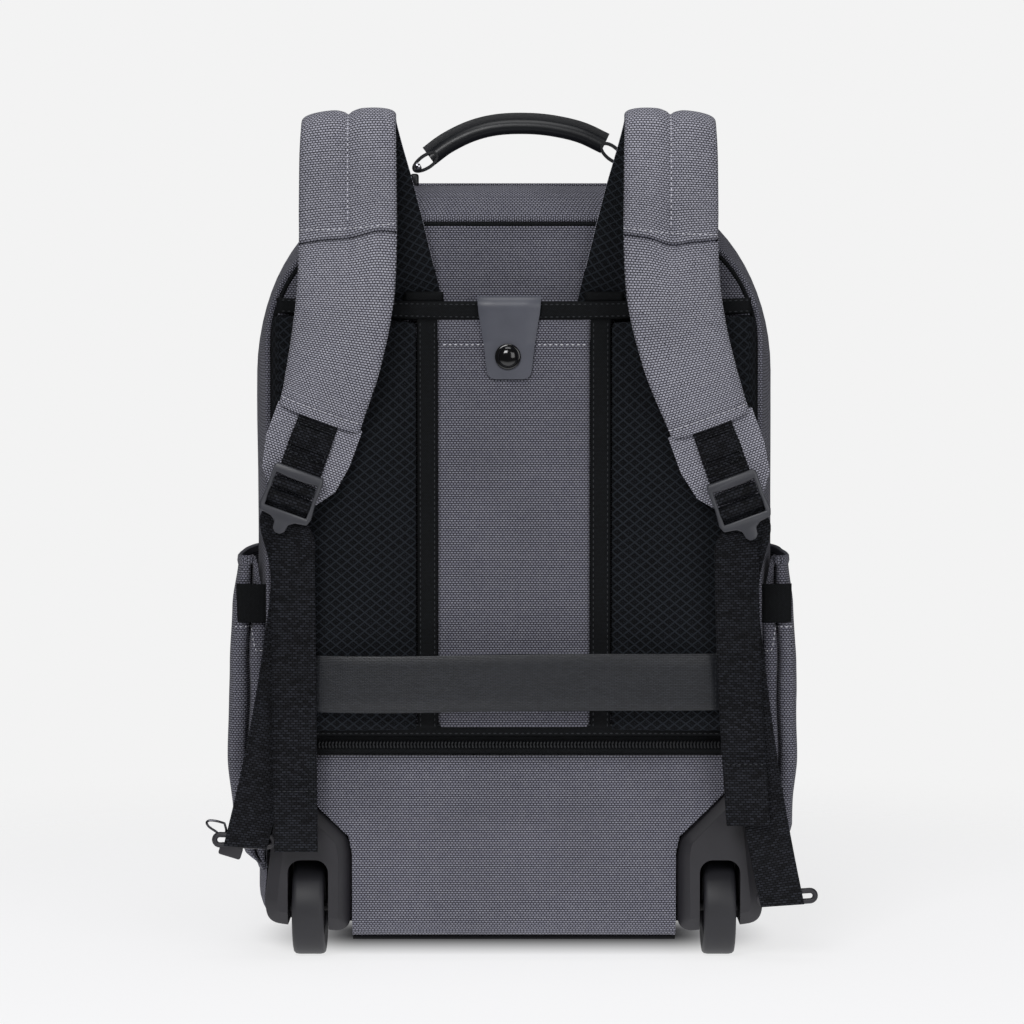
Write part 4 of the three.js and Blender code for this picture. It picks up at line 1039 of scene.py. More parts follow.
def strap_section(valley, count=20):
    """Shares across and outwards round a strap: a crowned outer face and a nearly flat inner one."""
    points = []
    for k in range(count + 1):
        a = -0.55 * math.cos(math.pi * k / count) + 0.45 * (2 * k / count - 1)
        crown = 0.4 + 0.6 * (1 - abs(a) ** 3.5) ** 0.5
        points.append((a, crown - valley * 0.3 * math.exp(-((a / 0.12) ** 2))))
    return points + [(0.93, 0.08), (0.6, 0.0), (0.2, 0.0), (-0.2, 0.0), (-0.6, 0.0), (-0.93, 0.08)]


def laid_on(samples, co):
    """Each point's place on a strap: along, across and outwards, in millimetres, and its sample."""
    at = np.array([s["place"] for s in samples])
    near = np.linalg.norm(co[:, None, :] - at[None, :, :], axis=2).argmin(1)
    off = co - at[near]
    parts = [np.einsum("ij,ij->i", off, np.array([s[key] for s in samples])[near]) / MM
             for key in ("way", "wide", "deep")]
    run = np.array([s["run"] for s in samples])[near]
    return run + parts[0], parts[1], parts[2], near


def coordinates(mesh):
    co = np.empty(len(mesh.vertices) * 3)
    mesh.vertices.foreach_get("co", co)
    return co.reshape(-1, 3)


def fold_bow(side, share):
    """How far the fold rises, in millimetres, at a share across its strap."""
    return eased(STRAP_LIES[side]["bow"], min(1, max(-1, share)))


def shoulder_strap(side):
    samples = frames_along(placed_rows(STRAP_LIES[side]), STRAP_STEPS)
    fold = next(s["run"] for s in samples if s["row"] >= FOLD_ROW - 1e-6)
    end = samples[-1]["run"]
    rings = []
    for s in samples:
        valley = 1.0 if s["run"] < fold else max(0.0, 1 - (s["run"] - fold) / 22)
        near = math.exp(-(((s["run"] - fold) / FOLD_REACH) ** 2))
        rings.append([s["place"] + (s["wide"] * a * s["half"] + s["deep"] * (r - 0.5) * (s["thick"] - 1.2)
                                    - s["way"] * fold_bow(side, a) * near) * MM
                      for a, r in strap_section(valley)])
    shape = sweep(rings)
    marks = shape.verts.layers.float.new("run")
    around = len(rings[0])
    for i, v in enumerate(shape.verts):
        v[marks] = samples[i // around]["run"]

    def held(place):
        run, across, out, near = (float(v[0]) for v in laid_on(samples, np.array([place])))
        sample = samples[int(near)]
        seams = [abs(across) if run < fold + 4 else 99, abs(run - fold), end - run, run - 6,
                 sample["half"] - abs(across), 9 * (out + sample["thick"] * 0.2)]
        return 1 - smooth((min(seams) - 1) / 9)

    made = stuffed(f"padded_strap_{side}", shape, strap_cloth_painted_lighter, STRAP_CAP, held, voxel=None)
    finer = made.modifiers.new("finer", "SUBSURF")
    finer.levels = finer.render_levels = 1
    settled(made)
    mesh = made.data
    co = coordinates(mesh)
    _, across, out, near = laid_on(samples, co)
    run = np.empty(len(mesh.vertices))
    mesh.attributes["run"].data.foreach_get("value", run)
    deep = np.array([s["deep"] for s in samples])[near]
    seam = np.where(run < fold, np.exp(-((across / 1.2) ** 2)), 0.0) * 1.2
    edge = run - fold
    step = np.where(edge < 0, -1.1 * np.exp(edge / 6), 1.2 * np.exp(-np.abs(edge) / 7))
    groove = 4.6 * np.exp(-(((edge - 0.6) / 0.75) ** 2))
    hem = 1.1 * np.exp(-(((run - (end - 7)) / 1.1) ** 2))
    co -= deep * ((seam + step + groove + hem) * (out > 0.5) * MM)[:, None]
    mesh.vertices.foreach_set("co", co.ravel())
    mesh.materials.append(mesh_cloth)
    cloth = mesh.uv_layers["cloth"].data
    for face in mesh.polygons:
        sample = samples[near[face.vertices[0]]]
        face.material_index = 1 if face.normal.dot(sample["deep"]) < -0.35 else 0
        for loop in face.loop_indices:
            vertex = mesh.loops[loop].vertex_index
            cloth[loop].uv = (across[vertex], run[vertex])
    mesh.update()
    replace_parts(made, f"shoulder_strap_{side}")
    print(made.name, len(mesh.polygons), "faces, length", round(end), "mm, fold at", round(fold))
    return samples, fold


strap_samples = {side: shoulder_strap(side) for side in SIDES}

# %% [markdown]
# ## What hangs from the hem
# Under each hem there is a tapered cloth patch, with a short webbing over it that holds the ladder
# lock. The long webbing comes up from behind, turns over the lock's bar and hangs down as a loose tail.
# These pieces are made upright at the hem and then turned with it.

# %% Patches and short webbings
WEBBING = 26.6
WEBBING_THICK = 1.6
PATCH = ((-27, 3), (27, 3), (27, -20), (24, -38), (15, -50), (-13, -50), (-23, -38), (-27, -20))
# Top, foot and front of the short webbing's layers: the strip, its folded end and the loop round the bar
STUB_LAYERS = ((2, -38, -1.6), (-6, -19, -3.1), (-25, -38, -3.1))
LOCK_FROM_HEM = 32


def hem_frame(side):
    """The place and turn of a strap's hem."""
    row = placed_rows(STRAP_LIES[side])[-1]
    return Matrix.Translation(row["place"]) @ Matrix.Rotation(math.radians(row["turn"]), 4, "Y")


def flat_piece(points, front, back, round_edge=0.0, segments=2):
    """An upright bmesh plate from an outline, between two depths, with rounded edges."""
    shape = bmesh.new()
    ring = [shape.verts.new(Vector((x, front, z)) * MM) for x, z in points]
    shape.faces.new(ring)
    pushed = bmesh.ops.extrude_face_region(shape, geom=shape.faces[:])["geom"]
    moved = [v for v in pushed if isinstance(v, bmesh.types.BMVert)]
    bmesh.ops.translate(shape, verts=moved, vec=(0, (back - front) * MM, 0))
    bmesh.ops.recalc_face_normals(shape, faces=shape.faces)
    if round_edge:
        bmesh.ops.bevel(shape, geom=shape.edges[:], offset=round_edge * MM, segments=segments,
                        profile=0.5, affect="EDGES", material=-1, clamp_overlap=True)
    return flat_map(shape)


def hung(name, shape, side, material, **settings):
    """Turns an upright piece with the hem and keeps it."""
    bmesh.ops.transform(shape, matrix=hem_frame(side), verts=shape.verts)
    return keep(name, shape, material, **settings)


for side in SIDES:
    patch = hung(f"hem_patch_{side}", flat_piece(PATCH, 0.2, 3.0, 0.9), side, strap_cloth_painted_lighter)
    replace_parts(patch, f"strap_patch_{side}")
    shape = bmesh.new()
    for top, foot, front in STUB_LAYERS:
        corners = ((-12.4, top), (12.4, top), (12.9, foot), (-12.9, foot))
        add_to(shape, flat_piece(corners, front, front + 1.7, 0.5))
    stub = hung(f"short_webbing_{side}", shape, side, webbing)
    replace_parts(stub, f"strap_stub_{side}")
print("patches and short webbings hung")

# %% [markdown]
# The ladder lock is one nylon moulding: a frame that widens downwards, two round bars across its window,
# and a lip with a blunt tip to lift it by. Its window is cut out of the frame before the edges are
# rounded, and the lip is bent forwards.

# %% Ladder locks
LOCK_FRONT, LOCK_BACK = -9.1, -4.1
LOCK_BARS = (-10.9, -19.4)
LOCK_RIGHT = ((14.8, 0), (15.9, -2.5), (15.5, -16), (16.4, -26), (15, -30), (7.5, -31.2), (4.4, -33.6),
              (3.8, -38), (1.6, -40))
LOCK_FRAME = ((-14.8, 0), *LOCK_RIGHT, *((-x, z) for x, z in LOCK_RIGHT[:0:-1]))
LOCK_WINDOW = ((-13.1, -5.2), (-6, -6.2), (6, -6.2), (13.1, -5.2), (13.3, -26.2), (-13.3, -26.2))


def ladder_lock(side):
    made = keep(f"ladder_lock_{side}", flat_piece(LOCK_FRAME, LOCK_FRONT, LOCK_BACK), buckle_nylon, angle=50)
    cut_away(made, [flat_piece(LOCK_WINDOW, LOCK_FRONT - 2, LOCK_BACK + 2)])
    shape = bmesh.new()
    shape.from_mesh(made.data)
    sharp = [e for e in shape.edges if e.is_manifold and e.calc_face_angle() > 0.5]
    bmesh.ops.bevel(shape, geom=sharp, offset=0.8 * MM, segments=2, profile=0.5, affect="EDGES",
                    material=-1, clamp_overlap=True)
    for v in shape.verts:
        bend = max(0.0, -v.co.z / MM - 26) / 14
        v.co.y -= 2.0 * bend**1.5 * MM
    for height in LOCK_BARS:
        bar = Matrix.Translation(Vector((0, -6.6, height)) * MM) @ Matrix.Rotation(math.pi / 2, 4, "Y")
        bmesh.ops.create_cone(shape, cap_ends=True, segments=16, radius1=1.7 * MM, radius2=1.7 * MM,
                              depth=27 * MM, matrix=bar)
    bmesh.ops.translate(shape, verts=shape.verts, vec=(0, 0, -LOCK_FROM_HEM * MM))
    bmesh.ops.transform(shape, matrix=hem_frame(side), verts=shape.verts)
    shape.to_mesh(made.data)
    shape.free()
    for face in made.data.polygons:
        face.use_smooth = True
    made.data.set_sharp_from_angle(angle=math.radians(45))
    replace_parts(made, f"buckle_{side}")
    return made


locks = [ladder_lock(side) for side in SIDES]
print("ladder locks:", [len(lock.data.polygons) for lock in locks])

# %% [markdown]
# The webbing is a flat band swept along its route. It starts at its lower end, comes up behind the
# lock, turns over the lower bar and hangs down in front. Its last 40 mm are folded back and sewn, so
# they are twice as thick. The short webbing's own loop shows as a rib round the upper bar.

# %% Long webbings
TAIL_FOLD = 42


def webbing_rows(side):
    lie = STRAP_LIES[side]
    way = lie["side"]
    hem = hem_frame(side)
    origin = hem.translation
    turn = math.degrees(hem.to_euler().y)
    height = origin.z / MM
    deep = (origin.y - BACK_FACE) / MM

    def on_lock(out, down):
        return {"place": hem @ (Vector((0, out, -down)) * MM), "turn": turn}

    def hang(end_across, end_drop, share, out, swing):
        x = lie["tail"] + max(0, share) ** 1.6 * (end_across - lie["tail"])
        start = height - 74
        z = start + share * (height - end_drop - start)
        return {"place": spot(way * x, deep + out, z), "turn": -way * swing}

    bar = LOCK_FROM_HEM - LOCK_BARS[1]
    lower = (lie["lower_end"], lie["lower_drop"])
    tail = (lie["tail_end"], lie["tail_drop"])
    return [
        hang(*lower, 1, 15, 4), hang(*lower, 0.88, 14, 12), hang(*lower, 0.65, 11, 9),
        hang(*lower, 0.35, 6, 4), hang(*lower, 0.1, 1.5, 4),
        on_lock(-1.4, bar + 17), on_lock(-2.0, bar + 9), on_lock(-3.2, bar - 1), on_lock(-5.2, bar - 3.4),
        on_lock(-8.0, bar - 3.1), on_lock(-9.5, bar - 0.6), on_lock(-8.9, bar + 2.4),
        on_lock(-6.4, bar + 4.4), on_lock(-4.9, bar + 7.4),
        hang(*tail, -0.02, -5.2, 7), hang(*tail, 0.05, -4.4, 2), hang(*tail, 0.15, -2.6, 0),
        hang(*tail, 0.45, 2, 0), hang(*tail, 0.75, 6, 0), hang(*tail, 1, 9, 0),
    ]


BAND_SECTION = ((-1, 0.1), (-1, 0.9), (-0.985, 1), (-0.5, 1), (0, 1), (0.5, 1), (0.985, 1), (1, 0.9),
                (1, 0.1), (0.985, 0), (0.5, 0), (0, 0), (-0.5, 0), (-0.985, 0))


def band(samples):
    """The rings of a flat band along samples."""
    return [[s["place"] + s["wide"] * a * s["half"] * MM + s["deep"] * (r - 0.5) * s["thick"] * MM
             for a, r in BAND_SECTION] for s in samples]


webbing_lines = {}
for side in SIDES:
    rows = [{"half": WEBBING / 2, "thick": WEBBING_THICK, **row} for row in webbing_rows(side)]
    samples = frames_along(rows, 190)
    length = samples[-1]["run"]
    for s in samples:
        from_end = min(s["run"], length - s["run"])
        s["thick"] -= 0.9 * math.exp(-(((from_end - TAIL_FOLD - 0.6) / 1.1) ** 2))
        if from_end < TAIL_FOLD:
            s["thick"] += 1.3 * min(1, (TAIL_FOLD - from_end) / 1.2)
            s["place"] = s["place"] + s["deep"] * 0.65 * MM * min(1, (TAIL_FOLD - from_end) / 1.2)
        s["place"] = s["place"] + Vector((0, ripple(s["place"].x / MM, s["place"].z / MM, 40, 5) * 0.8 * MM, 0))
    webbing_lines[side] = samples
    made = keep(f"long_webbing_{side}", sweep(band(samples)), webbing)
    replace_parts(made, f"webbing_{side}")
    rib = [{"half": 12.7, "thick": 1.5, "turn": 0,
            "place": Vector((0, -6.6 - 2.7 * math.sin(a), LOCK_BARS[0] + 2.7 * math.cos(a))) * MM}
           for a in np.linspace(-0.5, math.pi + 0.5, 9)]
    shape = sweep(band(frames_along(rib, 24)))
    bmesh.ops.translate(shape, verts=shape.verts, vec=(0, 0, -LOCK_FROM_HEM * MM))
    hung(f"lock_rib_{side}", shape, side, webbing)
print("webbing lengths:", {side: round(line[-1]["run"]) for side, line in webbing_lines.items()})

# %% [markdown]
# The luggage band slips over the handle of another case. It is seat-belt webbing, sewn down at both
# ends and bowed out between them. The leather tab comes out of the stowing space, bends over the tape
# and is closed by a snap, which is turned from its profile.

# %% Luggage band
BAND_HALF = 130
BAND_HIGH = 34.6
BAND_UP = 174.2
BAND_SEAT = -18.4
BAND_BOW = 12

rows = []
for share in np.linspace(-1, 1, 27):
    bow = BAND_BOW * (1 - share**4)
    lift_up = 0.9 * math.sin(share * 2.4 + 0.6)
    rows.append({"place": spot(share * BAND_HALF, BAND_SEAT - bow, BAND_UP + lift_up), "turn": -90,
                 "half": BAND_HIGH / 2, "thick": 1.8})
band_samples = frames_along(rows, 110)
luggage_band = keep("luggage_band", sweep(band(band_samples)), satin)
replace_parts(luggage_band, "luggage_strap")
print("luggage band length", round(band_samples[-1]["run"]), "mm")

# %% Leather tab and snap
TAB_TOP = 19.4
TAB_LEVEL = 372.4

tab_route = ((-1.8, 397, TAB_TOP), (-2.2, 404, TAB_TOP), (-4.2, 407.5, TAB_TOP), (-8.0, 408.3, TAB_TOP),
             (-11.6, 407.5, TAB_TOP), (-13.6, 404.3, 19.2), (-13.6, 399, 18.7), (-13.3, 391, 17.4),
             (-13.0, 379.5, 15.6), (-12.8, 369.5, 14.4), (-12.8, 363.8, 13.8), (-12.8, 360.8, 12.8),
             (-12.8, 359.2, 11.0), (-12.8, 358.6, 8.4))
rows = [{"place": spot(-2.9, deep, z), "turn": 0, "half": half, "thick": 2} for deep, z, half in tab_route]
tab = keep("leather_tab_cover", sweep(band(frames_along(rows, 70))), tab_leather)
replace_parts(tab, "leather_tab")


def turned(profile, axis, centre, steps=48):
    """A closed shape turned from a profile of radius and place along an axis, in millimetres."""
    shape = bmesh.new()
    side = Vector((1, 0, 0)) if abs(axis.z) > 0.5 else Vector((0, 0, 1))
    points = [shape.verts.new(centre + (side * r + axis * w) * MM) for r, w in profile]
    edges = [shape.edges.new(pair) for pair in zip(points, points[1:])]
    if profile[0][0] > 0.01:
        edges.append(shape.edges.new((points[-1], points[0])))
    bmesh.ops.spin(shape, geom=points + edges, cent=centre, axis=axis, angle=2 * math.pi,
                   steps=steps, use_merge=True, dvec=(0, 0, 0))
    bmesh.ops.remove_doubles(shape, verts=shape.verts, dist=2e-6)
    bmesh.ops.recalc_face_normals(shape, faces=shape.faces)
    return shape


SNAP_PROFILE = ((0, 4.6), (2.8, 4.4), (4.9, 3.7), (6.0, 2.6), (6.3, 1.9), (6.7, 1.9), (7.4, 1.7), (7.9, 1.1),
                (7.9, 0.2), (7.6, 0), (0, 0))
snap = keep("snap_cap", turned(SNAP_PROFILE, Vector((0, -1, 0)), spot(-3.7, -13.8, TAB_LEVEL)), snap_lacquer)
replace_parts(snap, "snap_button")
print("tab and snap made")

# %% [markdown]
# ## The grab handle
# A leather tube with a sewn ridge along its top, held at each end by a thin loop round a plated pin.
# The ridge is part of the section that is swept along the handle's bow.

# %% Grab handle
HANDLE_HALF = 52
HANDLE_LOW = 492.25
HANDLE_RISE = 24
HANDLE_DEEP = 50
TUBE = 4.75
PIN_PROFILE = ((0, -12), (1.3, -12), (2.1, -11.4), (2.1, -10), (1.5, -9.8), (1.5, 9.8), (2.1, 10),
               (2.1, 11.4), (1.3, 12), (0, 12))
HANDLE_ROWS = ((-1, 0.14), (-0.8, 0.46), (-0.5, 0.78), (-0.2, 0.94), (0.2, 0.97), (0.5, 0.9), (0.8, 0.74),
               (1.08, 0.46))

round_part = [(math.sin(a), -math.cos(a)) for a in np.linspace(-math.pi + 0.26, math.pi - 0.26, 27)]
ridge_part = [(0.27, 1.28), (0.24, 1.72), (0.12, 1.8), (-0.12, 1.8), (-0.24, 1.72), (-0.27, 1.28)]
line = through([spot(a * HANDLE_HALF, HANDLE_DEEP, HANDLE_LOW + r * HANDLE_RISE) for a, r in HANDLE_ROWS], 60)
rings = []
for place, way in line:
    up = Vector((-way.z, 0, way.x))
    rings.append([place + (Vector((0, 1, 0)) * y + up * z) * TUBE * MM for y, z in round_part + ridge_part])
handle = keep("handle_tube", sweep(rings), handle_leather, angle=35)
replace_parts(handle, "grab_handle")

for side, way in SIDES.items():
    end = line[0][0] if way < 0 else line[-1][0]
    pin_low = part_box(f"handle_pin_{side}")
    pin = (pin_low[0] + pin_low[1]) / 2 + Vector((6 * MM if way > 0 else 0, 0, 0))
    reach_out = end - pin
    major = Vector((reach_out.x, 0, reach_out.z)).normalized()
    minor = Vector((-major.z, 0, major.x))
    centre_point = pin + major * 5.6 * MM
    eye = []
    for k in range(28):
        a = 2 * math.pi * k / 28
        out = major * math.cos(a) * 8.6 + minor * math.sin(a) * 3.9 * (1 + 0.1 * math.cos(a))
        normal = (major * math.cos(a) / 8.6 + minor * math.sin(a) / 3.9).normalized()
        eye.append([centre_point + (out + normal * t + Vector((0, w, 0))) * MM
                    for t, w in ((-0.8, -5), (-0.8, 5), (0.8, 5), (0.8, -5))])
    shape = sweep(eye + eye[:1], capped=False)
    bmesh.ops.remove_doubles(shape, verts=shape.verts, dist=1e-6)
    anchor = bmesh.ops.create_cube(shape, size=1.0)["verts"]
    bmesh.ops.scale(shape, vec=(5 * MM, 9 * MM, 8 * MM), verts=anchor)
    base = Vector((pin.x + way * 2 * MM, pin.y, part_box(f"handle_loop_{side}")[0].z + 3.8 * MM))
    bmesh.ops.translate(shape, verts=anchor, vec=base)
    edges = list({e for v in anchor for e in v.link_edges})
    bmesh.ops.bevel(shape, geom=edges, offset=1.4 * MM, segments=3, profile=0.5, affect="EDGES", material=-1)
    bmesh.ops.recalc_face_normals(shape, faces=shape.faces)
    loop = keep(f"handle_eye_{side}", shape, handle_leather)
    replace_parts(loop, f"handle_loop_{side}")
    rod = keep(f"plated_pin_{side}", turned(PIN_PROFILE, Vector((0, 1, 0)), pin, 20), plated_steel)
    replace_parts(rod, f"handle_pin_{side}")
print("handle on two eyes")

# %% [markdown]
# ## Wheels and housings
# Each housing is an ABS corner: a block with a broad sloped border, hollowed for the wheel and open
# towards the back and the floor. The wheel is turned: a polyurethane tyre with rounded shoulders on a
# hub with ribs. The tyre and the hub ride on the wheel's own body, so they spin.

# %% Housings
WHEEL_ACROSS = 127
WHEEL_DEEP = 22
WHEEL = 60
ROOM_HALF = 12.5
ROOM_RADIUS = 32.5
# Depth, how far in and corner of the rings from the front face to the rear one
HOUSING_RIMS = ((HOUSING_FRONT, 0.8, 5), (HOUSING_FRONT - 0.8, 0, 5), (-0.6, 0, 5), (-1.6, 0.8, 5),
                (-4.4, 7.0, 2.5), (HOUSING_BACK, 7.8, 2.5))


def slot_outline():
    low, high, crown, round_up = WHEEL_ACROSS - ROOM_HALF, WHEEL_ACROSS + ROOM_HALF, 62.5, 8
    points = [(low, -8), (high, -8)]
    for k in range(7):
        a = k / 6 * math.pi / 2
        points.append((high - round_up + round_up * math.cos(a), crown - round_up + round_up * math.sin(a)))
    for k in range(7):
        a = k / 6 * math.pi / 2
        points.append((low + round_up - round_up * math.sin(a), crown - round_up + round_up * math.cos(a)))
    return points


def drum(side):
    middle = spot(side * WHEEL_ACROSS, WHEEL_DEEP, WHEEL / 2)
    shape = bmesh.new()
    bmesh.ops.create_cone(
        shape, cap_ends=True, segments=48, radius1=ROOM_RADIUS * MM, radius2=ROOM_RADIUS * MM,
        depth=2 * ROOM_HALF * MM, matrix=Matrix.Translation(middle) @ Matrix.Rotation(math.pi / 2, 4, "Y"),
    )
    return shape


def rim(points, inward, corner):
    """The outline moved inwards, with each corner rounded by five points."""
    moved = []
    for (x0, z0), (x1, z1), (x2, z2) in zip(points[-1:] + points[:-1], points, points[1:] + points[:1]):
        before, after = Vector((x1 - x0, z1 - z0)).normalized(), Vector((x2 - x1, z2 - z1)).normalized()
        into = Vector((before.y + after.y, -before.x - after.x)).normalized()
        moved.append(Vector((x1, z1)) + into * inward / into.dot(Vector((after.y, -after.x))))
    made = []
    for before, here, after in zip(moved[-1:] + moved[:-1], moved, moved[1:] + moved[:1]):
        a, b = (here + (end - here).normalized() * min(corner, 0.45 * (end - here).length)
                for end in (before, after))
        for t in (0, 0.25, 0.5, 0.75, 1):
            made.append(a * (1 - t) ** 2 + here * 2 * t * (1 - t) + b * t**2)
    return made


def housing(side):
    way = SIDES[side]
    rings = [[spot(way * x, deep, z) for x, z in rim(housing_outline(HOUSING_ROWS), inward, corner)]
             for deep, inward, corner in HOUSING_RIMS]
    shape = sweep(rings)
    made = keep(f"wheel_corner_{side}", shape, housing_abs, angle=28)
    below = block([(WHEEL_ACROSS - ROOM_HALF, -8), (WHEEL_ACROSS + ROOM_HALF, -8),
                   (WHEEL_ACROSS + ROOM_HALF, WHEEL / 2), (WHEEL_ACROSS - ROOM_HALF, WHEEL / 2)],
                  WHEEL_DEEP - ROOM_RADIUS, WHEEL_DEEP + ROOM_RADIUS, way)
    cut_away(made, [block(slot_outline(), -30, WHEEL_DEEP, way), drum(way), below])
    shape = bmesh.new()
    shape.from_mesh(made.data)
    bmesh.ops.dissolve_limit(shape, angle_limit=math.radians(1), verts=shape.verts, edges=shape.edges)
    profile = ((0, -14.2), (3.2, -14.2), (3.2, 14.2), (0, 14.2))
    add_to(shape, turned(profile, Vector((1, 0, 0)), spot(way * WHEEL_ACROSS, WHEEL_DEEP, WHEEL / 2), 20))
    bmesh.ops.recalc_face_normals(shape, faces=shape.faces)
    shape.to_mesh(made.data)
    shape.free()
    soft = made.modifiers.new("edges", "BEVEL")
    soft.width = 0.9 * MM
    soft.segments = 3
    soft.limit_method = "ANGLE"
    soft.angle_limit = math.radians(40)
    settled(made)
    for face in made.data.polygons:
        face.use_smooth = True
    made.data.set_sharp_from_angle(angle=math.radians(35))
    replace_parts(made, f"wheel_housing_{side}")
    return made


housings = [housing(side) for side in SIDES]
print("housing faces:", [len(h.data.polygons) for h in housings])

# %% Wheels and feet
TYRE_PROFILE = ((19.3, -8.6), (20.5, -8.9), (24, -9.6), (27, -10), (28.6, -9.7), (29.6, -8.6), (30, -6.5),
                (30, 6.5), (29.6, 8.6), (28.6, 9.7), (27, 10), (24, 9.6), (20.5, 8.9), (19.3, 8.6))
HUB_PROFILE = ((3.5, -8), (7, -8), (7.6, -7.4), (7.6, -5), (8.5, -4), (15, -4), (16, -5), (16.4, -7.6),
               (17, -8), (18.6, -8), (19, -7.6), (19, 7.6), (18.6, 8), (17, 8), (16.4, 7.6), (16, 5), (15, 4),
               (8.5, 4), (7.6, 5), (7.6, 7.4), (7, 8), (3.5, 8))
FOOT_PROFILE = ((0, 0), (7, 0), (8, 0.5), (8.4, 1.4), (9.6, 10.6), (10, 11.4), (10, 11.7), (0, 11.7))
FOOT_ACROSS, FOOT_DEEP = 96, 158
RIBS = 6

for side, way in SIDES.items():
    centre_point = spot(way * WHEEL_ACROSS, WHEEL_DEEP, WHEEL / 2)
    tyre = keep(f"tyre_{side}", turned(TYRE_PROFILE, Vector((1, 0, 0)), centre_point, 96), tyre_rubber,
                body=f"wheel_{side}")
    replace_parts(tyre, f"wheel_tyre_{side}")
    shape = turned(HUB_PROFILE, Vector((1, 0, 0)), centre_point, 64)
    for k in range(RIBS):
        rib = bmesh.ops.create_cube(shape, size=1.0)["verts"]
        bmesh.ops.scale(shape, vec=(13 * MM, 2.2 * MM, 9.4 * MM), verts=rib)
        bmesh.ops.translate(shape, verts=rib, vec=(0, 0, 11.8 * MM))
        turn = Matrix.Rotation(2 * math.pi * k / RIBS, 3, "X")
        bmesh.ops.rotate(shape, verts=rib, cent=(0, 0, 0), matrix=turn)
        bmesh.ops.translate(shape, verts=rib, vec=centre_point)
    hub = keep(f"hub_{side}", shape, housing_abs, body=f"wheel_{side}")
    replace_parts(hub, f"wheel_hub_{side}")
    foot = turned(FOOT_PROFILE, Vector((0, 0, 1)), spot(way * FOOT_ACROSS, FOOT_DEEP, 0), 32)
    foot = keep(f"standing_foot_{side}", foot, housing_abs)
    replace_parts(foot, f"foot_{side}")
print("wheels on their bodies")

# %% [markdown]
# ## Side pockets
# A side pocket is a patch of the body's cloth that stands out from the gusset like a bellows. Seen from
# the back it has two upright folds with a deep groove between them, and a black elastic pulls them
# together. Its plan is one curve round the side, which shrinks to the gusset at the foot. The mouth dips
# next to the back panel.

# %% Side pockets
POCKET_FOOT, POCKET_MOUTH, POCKET_DIP = 56, 249, 19
POCKET_STEPS, POCKET_ROWS = 120, 70
# Across and deep, from the back seam round to the front one
POCKET_PLAN = ((152.6, 7), (155, 4.2), (159, 3.2), (162.6, 4.6), (164.4, 13), (166.2, 5.4), (169.4, 3.6),
               (173.4, 4.2), (176.2, 8.5), (177.2, 17), (177.4, 40), (177, 70), (175.4, 98), (171, 122),
               (165, 136), (158.5, 143))
POCKET_UP = ((0, 0), (0.05, 0.5), (0.13, 0.84), (0.35, 1), (0.66, 0.98), (0.84, 0.83), (1, 0.64))
ELASTIC_LOW, ELASTIC_HIGH = 209, 232.5
ELASTIC_PLAN = ((150.5, 5), (153, 1.6), (159, 1.0), (165, 1.4), (168.6, 2.4), (169.8, 4.2), (170, 6.5))


def plan_line(plan, steps):
    """Places across and deep along a plan curve, in millimetres."""
    return [(p.x, p.y) for p, _ in through([Vector((x, deep, 0)) for x, deep in plan], steps)]


def on_gusset(deep):
    return section_at(min(1, max(0, (deep - PANEL) / (BODY_DEPTH - 2 * PANEL))))["half"] + 0.8


POCKET_LINE = plan_line(POCKET_PLAN, POCKET_STEPS)


def pocket_place(way, step, up, proud=0.0):
    """A point of a pocket from its step along the plan and its share up."""
    across, deep = POCKET_LINE[round(step)]
    mouth = POCKET_MOUTH - POCKET_DIP * (1 - smooth((round(step) / POCKET_STEPS - 0.13) / 0.1))
    z = POCKET_FOOT + up * (mouth - POCKET_FOOT)
    share = eased(POCKET_UP, up) * (0.92 if way > 0 else 1)
    base = on_gusset(deep)
    squeeze = math.exp(-(((z - (ELASTIC_LOW + ELASTIC_HIGH) / 2) / 13) ** 2)) * smooth((171 - across) / 6)
    slack = 1.3 * ripple(deep * 1.2 + across, z, 40, 11 * way) * share
    x = base + max(0.0, across - base) * share + slack - 1.2 * squeeze + proud
    return spot(way * x, deep + 1.4 * squeeze - 0.6 * slack, z)


for side, way in SIDES.items():
    shape = draped(POCKET_STEPS, POCKET_ROWS, lambda s, t: pocket_place(way, s * POCKET_STEPS, t))
    if way < 0:
        bmesh.ops.reverse_faces(shape, faces=shape.faces)
    pocket = thicken(keep(f"pocket_{side}", shape, body_cloth), 1.5)
    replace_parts(pocket, f"side_pocket_{side}")
    hem = [[pocket_place(way, step, up, proud) for up, proud in
            ((0.975, 0.3), (0.985, 0.9), (1.0, 0.8), (1.006, -0.2), (1.0, -1.6), (0.98, -1.7))]
           for step in range(1, POCKET_STEPS)]
    keep(f"pocket_hem_{side}", sweep(hem), body_cloth)
    rings = [[spot(way * (across + out), deep + out, z) for out, z in
              ((0, ELASTIC_LOW), (0, ELASTIC_HIGH), (1.3, ELASTIC_HIGH), (1.3, ELASTIC_LOW))]
             for across, deep in plan_line(ELASTIC_PLAN, 30)]
    elastic = keep(f"pleat_elastic_{side}", sweep(rings), grosgrain)
    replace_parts(elastic, f"elastic_{side}")
print("pockets:", len(pocket.data.polygons), "faces each")

# %% [markdown]
# The lower end of each webbing is folded round a moulded ring that shows at both edges, for hooking the
# webbing down. The left one also carries a small snap hook: a moulded body and a bent wire loop.

# %% Webbing rings and the snap hook
RING_THICK = 1.7
RING_HALF_HIGH = 3.2
# Across and up of the middle, half the length and the tilt
RINGS = {"left": (165.3, 76.0, 18.2, 2), "right": (167.5, 41.0, 17.4, -4)}
HOOK_WIRE = ((-1.5, 5.5), (-6, 6.8), (-11, 7.2), (-12.4, 6.0), (-11.4, 3.8), (-7, 0.6), (-2.5, -2.5),
             (-0.5, 0.5))


